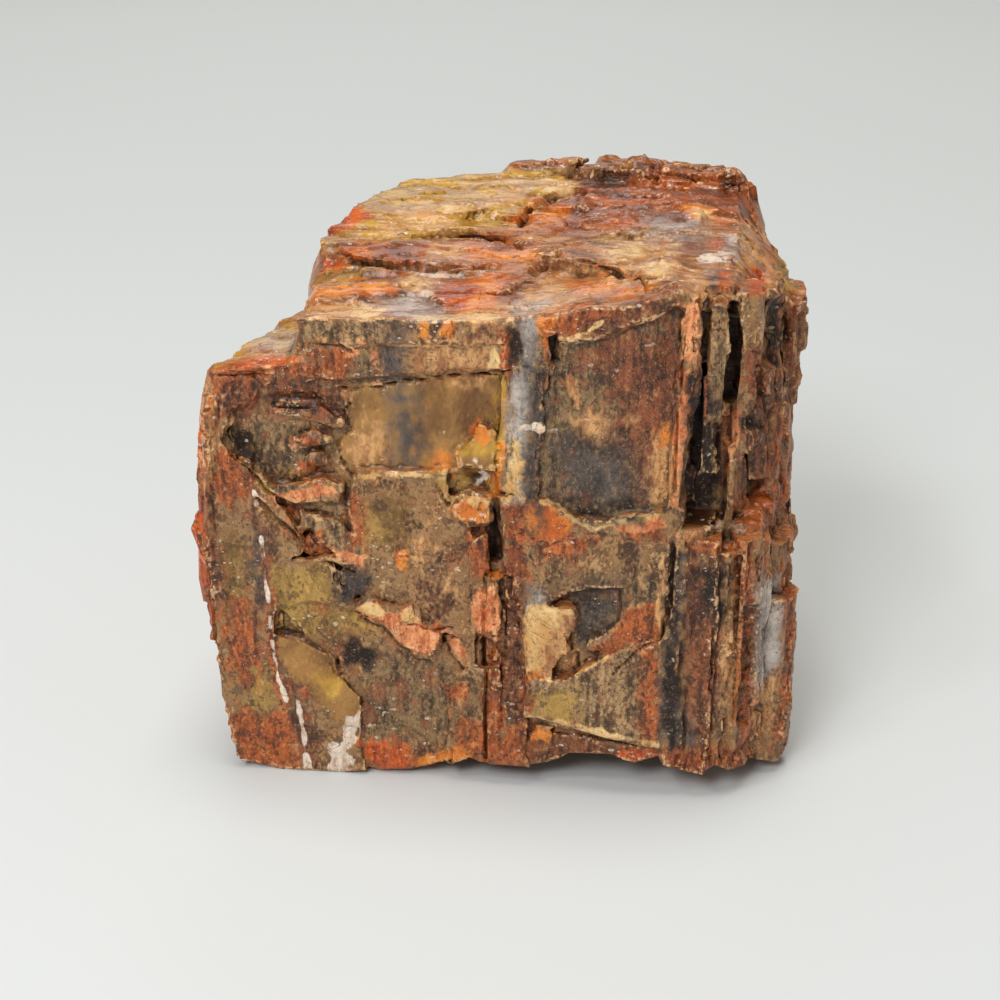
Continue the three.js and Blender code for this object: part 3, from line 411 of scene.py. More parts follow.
TOP_PATCHES: dict[str, Patch] = {
    "shoulder": Patch(Tint.OCHRE, [(200, 366), (214, 348), (250, 330), (296, 316), (298, 360), (240, 366)], soft=2),
    "shoulder_grey": Patch(Tint.MIST, [(252, 342), (292, 336), (294, 350), (250, 354)], soft=4),
    "shoulder_orange": Patch(Tint.EMBER, [(222, 364), (258, 352), (296, 356), (296, 366), (240, 370)], soft=2.6),
    "slab": Patch(Tint.OCHRE, [
        (318, 240), (334, 236), (356, 206), (376, 190), (407, 178), (438, 174), (503, 168), (562, 172), (562, 196),
        (537, 196), (520, 225), (488, 228), (459, 236), (402, 240), (342, 238), (320, 250)], soft=1.4),
    "slab_nose": Patch(Tint.EMBER, [
        (308, 236), (333, 211), (356, 206), (368, 214), (356, 226), (336, 232)], soft=2.2),
    "slab_mauve": Patch(Tint.SAND, [
        (382, 219), (421, 205), (456, 214), (446, 227), (410, 225), (378, 232)], soft=3.5),
    "slab_olive": Patch(Tint.OLIVE, [
        (376, 214), (396, 192), (420, 182), (462, 190), (440, 202), (400, 208)], soft=4),
    "slab_flake": Patch(Tint.CREAM, [
        (436, 208), (450, 203), (476, 203), (471, 208), (446, 214)], soft=1.4, lift=0.4),
    "slab_streak": Patch(Tint.CREAM, [(462, 184), (505, 182), (550, 180)], width=4, soft=2.2),
    "slab_streak_mid": Patch(Tint.CREAM, [(400, 211), (420, 206), (432, 201)], width=2.4, soft=1.4),
    "slab_flecks": Patch(Tint.SAND, [(468, 196), (500, 190), (524, 190), (520, 202), (480, 206)], soft=3.4),
    "slab_end": Patch(Tint.ORANGE, [
        (502, 216), (520, 214), (532, 196), (537, 198), (522, 226), (504, 222)], soft=1.8),
    "second": Patch(Tint.RUST, [
        (340, 240), (404, 240), (479, 238), (540, 238), (536, 262), (493, 262), (445, 266), (424, 271), (386, 268),
        (383, 260), (347, 255)], soft=2),
    "second_orange": Patch(Tint.ORANGE, [(345, 247), (362, 245), (376, 253), (364, 258), (347, 257)], soft=1.8),
    "second_grey": Patch(Tint.SAND, [(432, 243), (462, 243), (462, 256), (440, 262), (430, 254)], soft=4),
    "second_orange_right": Patch(Tint.ORANGE, [(468, 246), (538, 250), (536, 260), (470, 261)], soft=3.5),
    "left_ember": Patch(Tint.EMBER, [(306, 258), (348, 260), (342, 267), (306, 275)], soft=1.8),
    "left_olive": Patch(Tint.OLIVE, [
        (306, 276), (322, 269), (383, 264), (380, 271), (342, 282), (306, 288)], soft=2.4),
    "left_orange": Patch(Tint.ORANGE, [(302, 287), (373, 281), (398, 286), (397, 294), (302, 298)], soft=2),
    "big_orange": Patch(Tint.EMBER, [
        (436, 284), (472, 279), (514, 274), (532, 270), (504, 288), (493, 305), (455, 312), (445, 307),
        (436, 298)], soft=1.6),
    "big_orange_bright": Patch(Tint.ORANGE, [(478, 284), (508, 276), (502, 288), (490, 302), (470, 306)], soft=3),
    "middle_plum": Patch(Tint.PLUM, [
        (504, 288), (531, 271), (560, 267), (566, 296), (520, 306), (500, 304)], soft=2.6),
    # Painted reflection: a pale lavender sheen near the top's front edge.
    "lavender": Patch(Tint.MIST, [
        (366, 300), (402, 294), (433, 299), (446, 311), (410, 314), (378, 304)], soft=2.6),
    "white_mix": Patch(Tint.SAND, [(412, 278), (432, 274), (438, 290), (430, 300), (414, 298)], soft=3.2),
    "white_flake": Patch(Tint.CREAM, [
        (398, 280), (412, 276), (428, 284), (420, 290), (404, 288)], soft=1.6, lift=0.4),
    "white_flake_low": Patch(Tint.CHALK, [(424, 288), (434, 292), (430, 298), (420, 296)], soft=1.4),
    "white_line": Patch(Tint.CHALK, [(414, 274), (438, 276), (462, 275)], width=2, soft=1.4),
    "front_sand": Patch(Tint.SAND, [(292, 300), (366, 299), (380, 306), (372, 318), (292, 322)], soft=2.2),
    "front_cream": Patch(Tint.CREAM, [(355, 307), (386, 309), (376, 317), (357, 316)], soft=2),
    # Painted reflection: a pale sheen along the top's front edge.
    "front_grey": Patch(Tint.MIST, [(388, 306), (440, 312), (440, 320), (390, 320)], soft=3),
    "front_cream_right": Patch(Tint.SAND, [(456, 312), (500, 306), (514, 308), (510, 318), (458, 320)], soft=2.4),
    "front_white": Patch(Tint.MIST, [(514, 306), (548, 302), (552, 309), (516, 313)], soft=2),
    "plate_mauve": Patch(Tint.SAND, [
        (520, 282), (575, 268), (638, 278), (632, 289), (585, 302), (538, 312), (520, 306)], soft=3),
    "plate_plum": Patch(Tint.PLUM, [(528, 280), (575, 270), (600, 284), (560, 300), (530, 302)], soft=5),
    "plate_orange": Patch(Tint.ORANGE, [(570, 284), (612, 280), (630, 288), (588, 300)], soft=4),
    "plate_edge": Patch(Tint.ORANGE, [(544, 313), (601, 302), (638, 290), (654, 286)], width=4.4, soft=1.6),
    "crinkled": Patch(Tint.SAND, [
        (598, 248), (635, 242), (672, 239), (679, 254), (683, 272), (653, 283), (631, 276), (601, 261)], soft=2.6),
    "crinkled_pale": Patch(Tint.CREAM, [
        (606, 249), (640, 244), (652, 252), (634, 262), (610, 258)], soft=2.6, lift=0.4),
    "crinkled_pale_low": Patch(Tint.CREAM, [
        (640, 264), (664, 258), (676, 270), (656, 278), (640, 272)], soft=2.2, lift=0.4),
    "crinkled_gold": Patch(Tint.GOLD, [(628, 250), (668, 250), (676, 270), (652, 278), (630, 270)], soft=4),
    "crinkled_yellow": Patch(Tint.OCHRE, [(668, 244), (677, 242), (677, 254), (666, 262)], soft=1.6),
    "highlight_mauve": Patch(Tint.PLUM, [(683, 237), (710, 236), (706, 253), (687, 255)], soft=2.6),
    "highlight_red": Patch(Tint.EMBER, [(710, 241), (725, 240), (721, 248), (712, 252)], soft=1.6),
    "highlight": Patch(Tint.CHALK, [(698, 261), (714, 256), (733, 253), (735, 261), (712, 264)], soft=3.4),
    "highlight_up": Patch(Tint.MIST, [(724, 236), (737, 236), (737, 252), (724, 252)], soft=2),
    "corner_sand": Patch(Tint.SAND, [(738, 228), (758, 226), (762, 262), (740, 270)], soft=3),
    "corner_rim": Patch(Tint.SALMON, [
        (700, 228), (730, 222), (758, 222), (768, 232), (770, 270)], width=4, soft=2.4),
    "grey_streak": Patch(Tint.OLIVE, [
        (594, 232), (650, 226), (714, 220), (712, 232), (676, 240), (600, 244)], soft=3.5),
    "grey_streak_blue": Patch(Tint.MIST, [(652, 222), (700, 218), (706, 228), (660, 234)], soft=4),
    "lens": Patch(Tint.ORANGE, [(677, 205), (701, 203), (723, 211), (705, 220), (688, 215)], soft=1.6, lift=0.5),
    "lens_light": Patch(Tint.CREAM, [(696, 212), (718, 210), (704, 218)], soft=3),
    "back_rust": Patch(Tint.RUST, [
        (585, 176), (640, 166), (700, 166), (756, 176), (782, 212), (760, 224), (700, 222), (640, 228), (560, 236),
        (540, 218), (560, 200)], soft=2.6),
    "back_orange": Patch(Tint.ORANGE, [(524, 214), (572, 206), (566, 218), (524, 226)], soft=2),
    "back_cream": Patch(Tint.CREAM, [(548, 186), (570, 182), (580, 186), (570, 196), (552, 196)], soft=3.4),
    "back_knob": Patch(Tint.PLUM, [(628, 166), (646, 164), (652, 178), (630, 182)], soft=1.6, lift=1.2),
    "back_knob_right": Patch(Tint.RUST, [(722, 168), (744, 172), (748, 186), (726, 184)], soft=1.6, lift=1),
    "back_dark": Patch(Tint.SOOT, [(579, 176), (606, 172), (626, 176), (612, 190), (584, 192)], soft=4),
    # Painted highlight: a cream line where the top's front edge catches the light.
    "front_left_edge": Patch(Tint.CREAM, [
        (300, 318), (350, 316), (400, 318), (450, 318), (500, 318)], width=2.4, soft=2),
}

RIGHT_PATCHES: dict[str, Patch] = {
    "nub": Patch(Tint.SAND, [(684, 270), (716, 266), (730, 268), (728, 294), (706, 300), (686, 296)], soft=2),
    "nub_red": Patch(Tint.EMBER, [(717, 268), (729, 269), (727, 291), (717, 291)], soft=1.6),
    "nub_ink": Patch(Tint.INK, [(709, 274), (718, 272), (718, 289), (710, 290)], soft=1.6),
    "tan_plate": Patch(Tint.SALMON, [(684, 304), (697, 302), (697, 365), (686, 368)], soft=3),
    "granular": Patch(Tint.SOOT, [
        (691, 372), (711, 368), (716, 430), (718, 493), (712, 532), (684, 530), (685, 461)], soft=2.6),
    "grey_plate": Patch(Tint.UMBER, [(710, 316), (727, 298), (730, 356), (727, 393), (710, 397)], soft=3),
    "grey_plate_low": Patch(Tint.SLATE, [(712, 398), (724, 398), (723, 432), (713, 432)], soft=2.4),
    "ember_plate": Patch(Tint.EMBER, [(751, 270), (766, 268), (764, 296), (750, 296)], soft=1.8),
    "rust_plate": Patch(Tint.RUST, [(746, 356), (760, 350), (762, 374), (752, 392), (744, 386)], soft=2),
    "tan_vertical": Patch(Tint.SAND, [(768, 257), (767, 300), (763, 342)], width=5, soft=1.6),
    # Painted shade: near-black in the deep sunken cavity.
    "cavity": Patch(Tint.SOOT, [(766, 300), (782, 297), (786, 331), (778, 365), (768, 367)], soft=2, lift=-2.5),
    "edge_plate": Patch(Tint.RUST, [(786, 297), (798, 302), (796, 335), (792, 373), (785, 356)], soft=1.8),
    "cap": Patch(Tint.OLIVE, [(776, 252), (786, 246), (800, 262), (798, 286), (786, 292), (774, 264)], soft=1.6),
    "blocks": Patch(Tint.PLUM, [(766, 374), (796, 368), (790, 396), (762, 416)], soft=2.4),
    "facets": Patch(Tint.RUST, [(756, 420), (786, 414), (784, 470), (760, 480)], soft=4),
    "lump": Patch(Tint.RUST, [
        (736, 504), (757, 487), (786, 478), (788, 494), (770, 525), (748, 534)], soft=2.6, lift=0.8),
    "salmon_splinter": Patch(Tint.SALMON, [(723, 414), (740, 414), (738, 440), (728, 478), (721, 484)], soft=1.6),
    "black_strip": Patch(Tint.INK, [
        (670, 552), (685, 556), (681, 642), (678, 683), (692, 746), (660, 744), (662, 662), (669, 622)], soft=1.8),
    "black_strip_core": Patch(Tint.SOOT, [(673, 556), (672, 640), (672, 742)], width=11, soft=2.4),
    "purple_band": Patch(Tint.PLUM, [
        (685, 556), (721, 568), (725, 622), (723, 683), (707, 740), (693, 744), (685, 683), (681, 638)], soft=2),
    "purple_dark": Patch(Tint.SOOT, [(696, 562), (722, 566), (724, 620), (706, 610)], soft=5),
    "purple_rust": Patch(Tint.RUST, [(690, 640), (704, 630), (706, 740), (694, 740)], soft=3),
    "tan_rim": Patch(Tint.SAND, [(726, 604), (731, 600), (729, 700), (725, 704)], soft=3),
    "outer_rust": Patch(Tint.RUST, [(738, 556), (752, 552), (750, 750), (736, 760)], soft=3),
    "column_top": Patch(Tint.RUST, [
        (676, 536), (700, 530), (716, 540), (748, 544), (748, 556), (716, 556), (684, 550)], soft=2.6),
    "column_cap": Patch(Tint.SAND, [(676, 530), (700, 526), (710, 534), (690, 540)], soft=2.4),
    "pale_plate": Patch(Tint.MIST, [(760, 584), (778, 576), (780, 662), (756, 690), (757, 632)], soft=1.6),
    "pale_plate_low": Patch(Tint.SAND, [(756, 684), (776, 664), (770, 726), (754, 748)], soft=2.2),
    "pale_plate_edge": Patch(Tint.RUST, [(784, 570), (788, 620), (786, 680), (776, 740)], width=9, soft=2.4),
    "far_dark": Patch(Tint.PLUM, [(744, 400), (772, 392), (770, 440), (758, 478), (742, 482)], soft=3),
    # Painted shade: near-black in a sunken gap.
    "far_gap": Patch(Tint.SOOT, [(741, 418), (758, 414), (760, 426), (744, 431)], soft=2, lift=-1.6),
    "foot_rust": Patch(Tint.RUST, [(662, 748), (700, 744), (748, 750), (746, 780), (700, 778), (664, 770)], soft=3),
}

PATCHES: dict[Side, dict[str, Patch]] = {
    Side.FRONT: FRONT_PATCHES,
    Side.TOP: TOP_PATCHES,
    Side.RIGHT: RIGHT_PATCHES,
}


@dataclass(frozen=True)
class Crack:
    """An open crack: its line in the photograph, how wide and how deep it is, in mm."""

    line: Outline
    half_width: float = 0.35
    depth: float = 1.6


CRACKS: dict[Side, dict[str, Crack]] = {
    Side.FRONT: {
        "main": Crack([(345, 384), (380, 384), (412, 379), (458, 373), (511, 371)], half_width=0.2, depth=1.2),
        "main_right": Crack([(518, 369), (550, 366), (602, 368), (650, 364)], half_width=0.2, depth=0.4),
        "corner": Crack([(216, 376), (246, 378), (270, 379)], half_width=0.3, depth=1),
        "diagonal": Crack([
            (258, 500), (276, 520), (296, 534), (304, 551), (330, 562), (352, 574)], half_width=0.45, depth=1.8),
        "right_edge": Crack([(672, 545), (669, 600), (660, 640)]),
        "salmon_under": Crack([(400, 622), (440, 630), (452, 628)], half_width=0.3, depth=1),
        "foot_line": Crack([(270, 727), (320, 731), (352, 729)], half_width=0.2, depth=0.3),
        "foot_line_low": Crack([(250, 741), (300, 746), (330, 743)], half_width=0.2, depth=0.3),
        "slab_inner": Crack([(614, 676), (640, 650), (660, 640)], half_width=0.3, depth=0.9),
        "hollow_under": Crack([(436, 484), (449, 506), (468, 498)], half_width=0.25, depth=0.9),
        "panel_left": Crack([
            (353, 400), (347, 408), (353, 428), (340, 440), (342, 455), (352, 472)], half_width=0.25, depth=0.9),
        "salmon_low": Crack([
            (361, 616), (383, 627), (397, 642), (415, 657), (430, 659)], half_width=0.3, depth=1.1),
        "flake_right": Crack([
            (326, 649), (335, 671), (347, 681), (362, 699), (363, 714), (356, 738)], half_width=0.25, depth=0.9),
        "cream_right": Crack([
            (572, 608), (576, 622), (571, 632), (573, 648), (579, 650), (577, 664)], half_width=0.25, depth=0.9),
        "groove_left": Crack([(487, 570), (484, 640), (486, 700), (485, 760)], depth=1.4),
        "groove_right": Crack([(504, 570), (504, 640), (502, 730)], half_width=0.3, depth=1),
        "panel_right": Crack([(546, 372), (544, 400), (540, 440)], half_width=0.2, depth=0.6),
        "band_left": Crack([(300, 344), (340, 346), (352, 352)], half_width=0.25, depth=0.8),
        "lamina": Crack([(683, 330), (682, 380), (676, 430), (674, 490)], half_width=0.3, depth=1.2),
        "ledge_low": Crack([
            (530, 541), (552, 546), (570, 536), (600, 535), (640, 543), (664, 542)], half_width=0.2, depth=0.5),
        "pocket_low": Crack([(224, 436), (250, 470), (270, 494), (288, 506)], depth=1.3),
        "spur": Crack([(446, 634), (452, 650), (464, 668)], half_width=0.25, depth=0.9),
    },
    Side.TOP: {
        "slab_front": Crack([(318, 249), (336, 249), (348, 258)], half_width=0.5, depth=2),
        "second_front": Crack([(350, 262), (380, 264), (424, 271), (450, 266), (500, 264)], half_width=0.45),
        "nick": Crack([(534, 270), (546, 262), (556, 254)], half_width=0.8, depth=2.6),
        "nick_right": Crack([
            (556, 264), (585, 263), (612, 270), (640, 278), (650, 287), (674, 290)], half_width=0.4, depth=1.8),
        "slab_end": Crack([(520, 226), (534, 204), (556, 196), (584, 192)], half_width=0.6, depth=2.4),
        "second_upper": Crack([(460, 236), (500, 240), (520, 246)], half_width=0.4, depth=1.4),
    },
    Side.RIGHT: {
        "gap_one": Crack([(703, 302), (705, 340), (706, 372)], half_width=0.9, depth=3.5),
        "gap_two": Crack([(733, 306), (736, 350), (731, 396)], half_width=0.9, depth=3.5),
        "gap_three": Crack([(752, 610), (748, 660), (744, 720)], half_width=0.9, depth=3),
        "gap_four": Crack([(740, 560), (737, 640), (734, 720)], half_width=0.6, depth=2.2),
    },
}

# Parts of the front that broke clean and stayed smooth, and parts that are granular
SMOOTH_PARTS = (
    "golden_panel", "blue_ridge", "pear_olive", "pear_yellow", "pear_tip", "blob", "cream_patch", "slab",
)
GRITTY_PARTS = ("band_dark", "band_left", "groove_right", "knobs", "corner_red")


@dataclass
class Viewpoint:
    """Where the photograph was taken from, and how places on the stone fall in its picture.

    Attributes:
        azimuth_deg: how far it is to the right of straight in front.
        elevation_deg: how far it is above the horizon.
        distance_mm: how far it is from its target.
        target_mm: the place that it looks at.
        lens_mm: its focal length.
        sensor_mm: the width of its frame.
        picture_px: the width of its picture.
        front_mm: how far in front of the target the stone's front is.
        clip_m: the nearest and the farthest that it shows.
    """

    azimuth_deg: float = 7.0
    elevation_deg: float = 24.0
    distance_mm: float = 450.0
    target_mm: Triple = (-4.0, -6.0, 52.0)
    lens_mm: float = 64.8
    sensor_mm: float = 36.0
    picture_px: float = 1000.0
    front_mm: float = 48.0
    clip_m: tuple[float, float] = (0.01, 50.0)

    def axes(self) -> tuple[np.ndarray, np.ndarray, np.ndarray, np.ndarray]:
        """Returns: the camera's place and its right, up and forward directions."""
        azimuth = math.radians(self.azimuth_deg)
        elevation = math.radians(self.elevation_deg)
        back = np.array([
            math.sin(azimuth) * math.cos(elevation),
            -math.cos(azimuth) * math.cos(elevation),
            math.sin(elevation),
        ])
        place = np.array(self.target_mm) + self.distance_mm * back
        right = np.cross(-back, [0.0, 0.0, 1.0])
        right /= np.linalg.norm(right)
        return place, right, np.cross(right, -back), -back

    def project(self, points: np.ndarray) -> np.ndarray:
        """Finds where points appear in the picture.

        Args:
            points: places in mm, one row each.

        Returns:
            Their pixels, one row each.
        """
        place, right, up, forward = self.axes()
        focal = self.focal_px()
        away = points - place
        depth = away @ forward
        middle = self.picture_px / 2
        return np.stack([middle + focal * (away @ right) / depth, middle - focal * (away @ up) / depth], -1)

    def focal_px(self) -> float:
        """Returns: the focal length, in pixels."""
        return self.lens_mm / self.sensor_mm * self.picture_px

    def pixels_per_mm(self) -> float:
        """Returns: the scale of the picture at the front of the block."""
        return self.focal_px() / (self.distance_mm - self.front_mm)

    def camera(self) -> None:
        """Makes the scene's camera."""
        place, _, _, forward = self.axes()
        bpy.ops.object.camera_add(location=Vector(place * MM))
        camera = bpy.context.object
        camera.rotation_euler = Vector(forward).to_track_quat("-Z", "Y").to_euler()
        camera.data.lens = self.lens_mm
        camera.data.sensor_width = self.sensor_mm
        camera.data.clip_start, camera.data.clip_end = self.clip_m
        bpy.context.scene.camera = camera


@dataclass(frozen=True)
class Grain:
    """Repeatable noise over points in space. Its seed sets it apart from the others."""

    seed: int

    PRIMES = (0x8DA6B343, 0xD8163841, 0xCB1AB31F)
    SEED_STEP = 7919
    CHANNEL_STEP = 104729
    LARGEST = 0xFFFFFFFF
    MIXERS = ((13, 0x5BD1E995), (15, 0x2C1B3C6D))
    LAST_SHIFT = 12
    FINER = 2.03
    OFFSET = 17.3
    FAR = 9.0

    def _at(self, cell: np.ndarray, channel: int = 0) -> np.ndarray:
        """Returns: a number from 0 to 1 for each cell of whole numbers."""
        wrapped = cell.astype(np.int64).astype(np.uint32)
        start = (self.seed * self.SEED_STEP + channel * self.CHANNEL_STEP) & self.LARGEST
        mixed = np.full(cell.shape[0], start, np.uint32)
        for axis, prime in enumerate(self.PRIMES):
            mixed ^= wrapped[:, axis] * np.uint32(prime)
        for shift, factor in self.MIXERS:
            mixed ^= mixed >> np.uint32(shift)
            mixed *= np.uint32(factor)
        mixed ^= mixed >> np.uint32(self.LAST_SHIFT)
        return mixed.astype(np.float64) / self.LARGEST

    def value(self, points: np.ndarray) -> np.ndarray:
        """Returns: smooth noise from -1 to 1 with a cell one unit wide."""
        low = np.floor(points)
        share = points - low
        share = share * share * share * (share * (share * 6 - 15) + 10)
        total = np.zeros(points.shape[0])
        for corner in range(8):
            step = np.array([corner & 1, (corner >> 1) & 1, (corner >> 2) & 1])
            weight = np.prod(np.where(step, share, 1 - share), axis=1)
            total += weight * self._at(low + step)
        return 2 * total - 1

    def layered(self, points: np.ndarray, octaves: int = 3, gain: float = 0.5) -> np.ndarray:
        """Returns: noise from about -1 to 1 with finer noise laid over it."""
        total = np.zeros(points.shape[0])
        weight = 1.0
        reach = 0.0
        for octave in range(octaves):
            total += weight * self.value(points * self.FINER**octave + self.OFFSET * octave)
            reach += weight
            weight *= gain
        return total / reach

    def cells(self, points: np.ndarray) -> tuple[np.ndarray, np.ndarray]:
        """Returns: how near each point is to a border between grains, and the grain's own number."""
        low = np.floor(points)
        nearest = np.full(points.shape[0], self.FAR)
        second = np.full(points.shape[0], self.FAR)
        number = np.zeros(points.shape[0])
        for step in itertools.product((-1, 0, 1), repeat=3):
            cell = low + np.array(step)
            middle = np.stack([self._at(cell, channel) for channel in (1, 2, 3)], -1)
            gap = np.linalg.norm(cell + middle - points, axis=1)
            closer = gap < nearest
            second = np.where(closer, nearest, np.minimum(second, gap))
            number = np.where(closer, middle[:, 0], number)
            nearest = np.where(closer, gap, nearest)
        return second - nearest, number


def ease(low: float, high: float, values: np.ndarray) -> np.ndarray:
    """Returns: 0 below low, 1 above high and a smooth rise between them."""
    share = np.clip((values - low) / (high - low), 0.0, 1.0)
    return share * share * (3 - 2 * share)


def terraces(values: np.ndarray, steps: float, sharpness: float) -> np.ndarray:
    """Turns a smooth height into flat steps with short rises between them.

    Args:
        values: the height.
        steps: how many steps a height of 1 makes.
        sharpness: the share of a step that its rise takes.

    Returns:
        The stepped height, on the same scale.
    """
    scaled = values * steps
    floor = np.floor(scaled)
    rise = ease(0.5 - sharpness / 2, 0.5 + sharpness / 2, scaled - floor)
    return (floor + rise) / steps


@dataclass(frozen=True)
class Texture:
    """A noise laid over the stone.

    Attributes:
        seed: what sets it apart from the others.
        cell_mm: how long its lumps are along X, Y and Z.
        height_mm: how high it stands.
        octaves: how many noises it has, each about twice as fine as the one before.
        gain: how strong each is beside the one before.
        steps: how many flat steps a height of 1 makes, or 0 for none.
        rise: the share of a step that its rise takes.
    """

    seed: int
    cell_mm: Triple
    height_mm: float
    octaves: int = 2
    gain: float = 0.5
    steps: float = 0.0
    rise: float = 0.14

    def at(self, points: np.ndarray, sibling: int = 0) -> np.ndarray:
        """Finds the height of the noise, or of another of its kind.

        Args:
            points: places in mm, one row each.
            sibling: which one of its kind it is.

        Returns:
            The height at each point, in mm.
        """
        grain = Grain(self.seed + sibling)
        noise = grain.layered(points / np.array(self.cell_mm), self.octaves, self.gain)
        return self.height_mm * (terraces(noise, self.steps, self.rise) if self.steps else noise)

    def shifts(self, points: np.ndarray) -> np.ndarray:
        """Returns: a shift of each point along X, Y and Z, in mm."""
        return np.stack([self.at(points, axis) for axis in range(3)], -1)


@dataclass(frozen=True)
class Blocks:
    """Blocks that the stone is broken into.

    Attributes:
        seed: what sets them apart from the others.
        cell_mm: how long they are along X, Y and Z.
        step_mm: how far the highest stands above the lowest.
        level: the share of them that stand below the face.
        gap: how wide the gaps between them are, as a share of a block.
    """

    seed: int
    cell_mm: Triple
    step_mm: float
    level: float
    gap: float

    def at(self, points: np.ndarray) -> tuple[np.ndarray, np.ndarray]:
        """Returns: how far each point's block stands out, in mm, and how deep in a gap the point is."""
        border, number = Grain(self.seed).cells(points / np.array(self.cell_mm))
        return self.step_mm * (number - self.level), 1 - ease(0.0, self.gap, border)


@dataclass(frozen=True)
class Zone:
    """A part of the block with soft borders.

    Attributes:
        borders: the axis of each border, the two places in mm between which it rises from 0 to 1, and
            whether it falls instead.
    """

    borders: tuple[tuple[int, float, float, bool], ...]

    def share(self, points: np.ndarray) -> np.ndarray:
        """Returns: how much each point belongs to the zone, from 0 to 1."""
        total = np.ones(points.shape[0])
        for axis, low, high, falls in self.borders:
            rise = ease(low, high, points[:, axis])
            total *= 1 - rise if falls else rise
        return total


# Shifts that bend what is straight
WAVER = (Texture(11, (9.0, 7.0, 12.0), 0.7), Texture(21, (2.2, 2.0, 2.8), 0.14))
BEND = Texture(81, (7.0, 7.0, 7.0), 2.2)
JUMPS = Blocks(31, (2.6, 2.0, 3.4), 1.0, 0.0, 1.0)

# The broken texture of each face
FRONT_TEXTURES = (
    Texture(51, (8.0, 3.0, 10.0), 0.42, octaves=3, steps=3.0),
    Texture(60, (3.4, 2.4, 4.2), 0.26, steps=2.4),
    Texture(52, (1.5, 1.5, 1.9), 0.07),
    Texture(53, (0.9, 3.0, 9.0), 0.06, octaves=1),
)
TOP_TEXTURES = (
    Texture(54, (23.0, 9.0, 6.0), 1.2, octaves=3, gain=0.4, steps=2.4, rise=0.08),
    Texture(55, (3.2, 1.8, 1.5), 0.05, octaves=1),
)
RIM_CRUMBS = Blocks(59, (9.0, 7.0, 5.0), 1.5, 0.45, 0.12)
SIDE_RIBS = Texture(56, (4.0, 3.4, 20.0), 1.2, steps=2.4)
SIDE_BLOCKS = Blocks(57, (4.8, 4.2, 13.0), 1.9, 0.5, 0.14)
SIDE_SPLITS = Texture(63, (11.0, 11.0, 11.0), 1.0)
SIDE_GRIT = Texture(58, (1.3, 1.2, 1.9), 0.16)

# The raggedness of what is cut or raised along an outline
LIFT_RAGGED = Texture(71, (1.6, 1.6, 1.6), 0.45)
CRACK_RAGGED = Texture(81, (1.1, 1.1, 1.1), 0.25)

# The front, whose relief is made shallower, and the parts of the top that are worn round
FRONT_ZONE = Zone(((0, 34.0, 39.0, True), (1, -48.0, -43.0, True), (0, -64.0, -58.0, False)))
ROUND_ZONES: dict[str, Zone] = {
    "slab": Zone(((2, 104.0, 110.0, False), (0, -22.0, -10.0, True), (1, -6.0, 4.0, False))),
    "shoulder": Zone(((2, 88.0, 96.0, False), (0, -42.0, -36.0, True), (2, 108.0, 112.0, True))),
    "ridge": Zone(((1, 40.0, 46.0, False), (2, 114.0, 118.0, False), (0, 4.0, 10.0, True))),
}


def line_distance(places: np.ndarray, line: Outline, closed: bool) -> np.ndarray:
    """Returns: how far each place is from a line of straight stretches."""
    ends = list(zip(line, line[1:] + line[:1])) if closed else list(zip(line, line[1:]))
    nearest = np.full(places.shape[0], np.inf)
    for start, end in ends:
        a = np.array(start, float)
        run = np.array(end, float) - a
        share = np.clip(((places - a) @ run) / max(run @ run, TINY), 0.0, 1.0)
        gap = places - a - share[:, None] * run
        nearest = np.minimum(nearest, np.einsum("ij,ij->i", gap, gap))
    return np.sqrt(nearest)


def inside(places: np.ndarray, outline: Outline) -> np.ndarray:
    """Returns: which places lie inside an outline."""
    x, y = places[:, 0], places[:, 1]
    result = np.zeros(places.shape[0], bool)
    for (ax, ay), (bx, by) in zip(outline, outline[1:] + outline[:1]):
        if ay == by:
            continue
        crosses = (ay > y) != (by > y)
        result ^= crosses & (x < (bx - ax) * (y - ay) / (by - ay) + ax)
    return result


@dataclass
class Surface:
    """The points of a mesh with what the sculpting and the painting need to know of them."""

    mesh: bpy.types.Mesh
    points: np.ndarray = field(init=False)
    normals: np.ndarray = field(init=False)
    edges: np.ndarray = field(init=False)

    def __post_init__(self) -> None:
        """Reads the mesh, in mm."""
        count = len(self.mesh.vertices)
        flat = np.zeros(count * 3, np.float32)
        self.mesh.vertices.foreach_get("co", flat)
        self.points = flat.reshape(-1, 3).astype(np.float64) / MM
        self.mesh.vertex_normals.foreach_get("vector", flat)
        self.normals = flat.reshape(-1, 3).astype(np.float64)
        pairs = np.zeros(len(self.mesh.edges) * 2, np.int32)
        self.mesh.edges.foreach_get("vertices", pairs)
        self.edges = pairs.reshape(-1, 2)

    def calm_normals(self, rounds: int) -> np.ndarray:
        """Returns: the directions of the points, of length 1, averaged with those around them."""
        normals = self.spread(self.normals, rounds)
        return normals / (np.linalg.norm(normals, axis=1, keepdims=True) + TINY)

    def spread(self, values: np.ndarray, rounds: int) -> np.ndarray:
        """Averages values with those of neighbouring points.

        Args:
            values: one row for each point.
            rounds: how many times they are averaged.

        Returns:
            The averaged values.
        """
        count = values.shape[0]
        first, second = self.edges[:, 0], self.edges[:, 1]
        degree = 1.0 + np.bincount(first, minlength=count) + np.bincount(second, minlength=count)
        result = values.astype(np.float64)
        for _ in range(rounds):
            total = result.copy()
            for column in range(values.shape[1]):
                total[:, column] += np.bincount(first, result[second, column], count)
                total[:, column] += np.bincount(second, result[first, column], count)
            result = total / degree[:, None]
        return result

    def write(self, points: np.ndarray) -> None:
        """Moves the points of the mesh, in mm."""
        self.mesh.vertices.foreach_set("co", (points * MM).astype(np.float32).ravel())
        self.mesh.update()

    def store(self, mark: Tint | Mark, values: np.ndarray) -> None:
        """Keeps a number for each point on the mesh, for its material."""
        attribute = self.mesh.attributes.new(name=mark.value, type="FLOAT", domain="POINT")
        attribute.data.foreach_set("value", values.astype(np.float32))


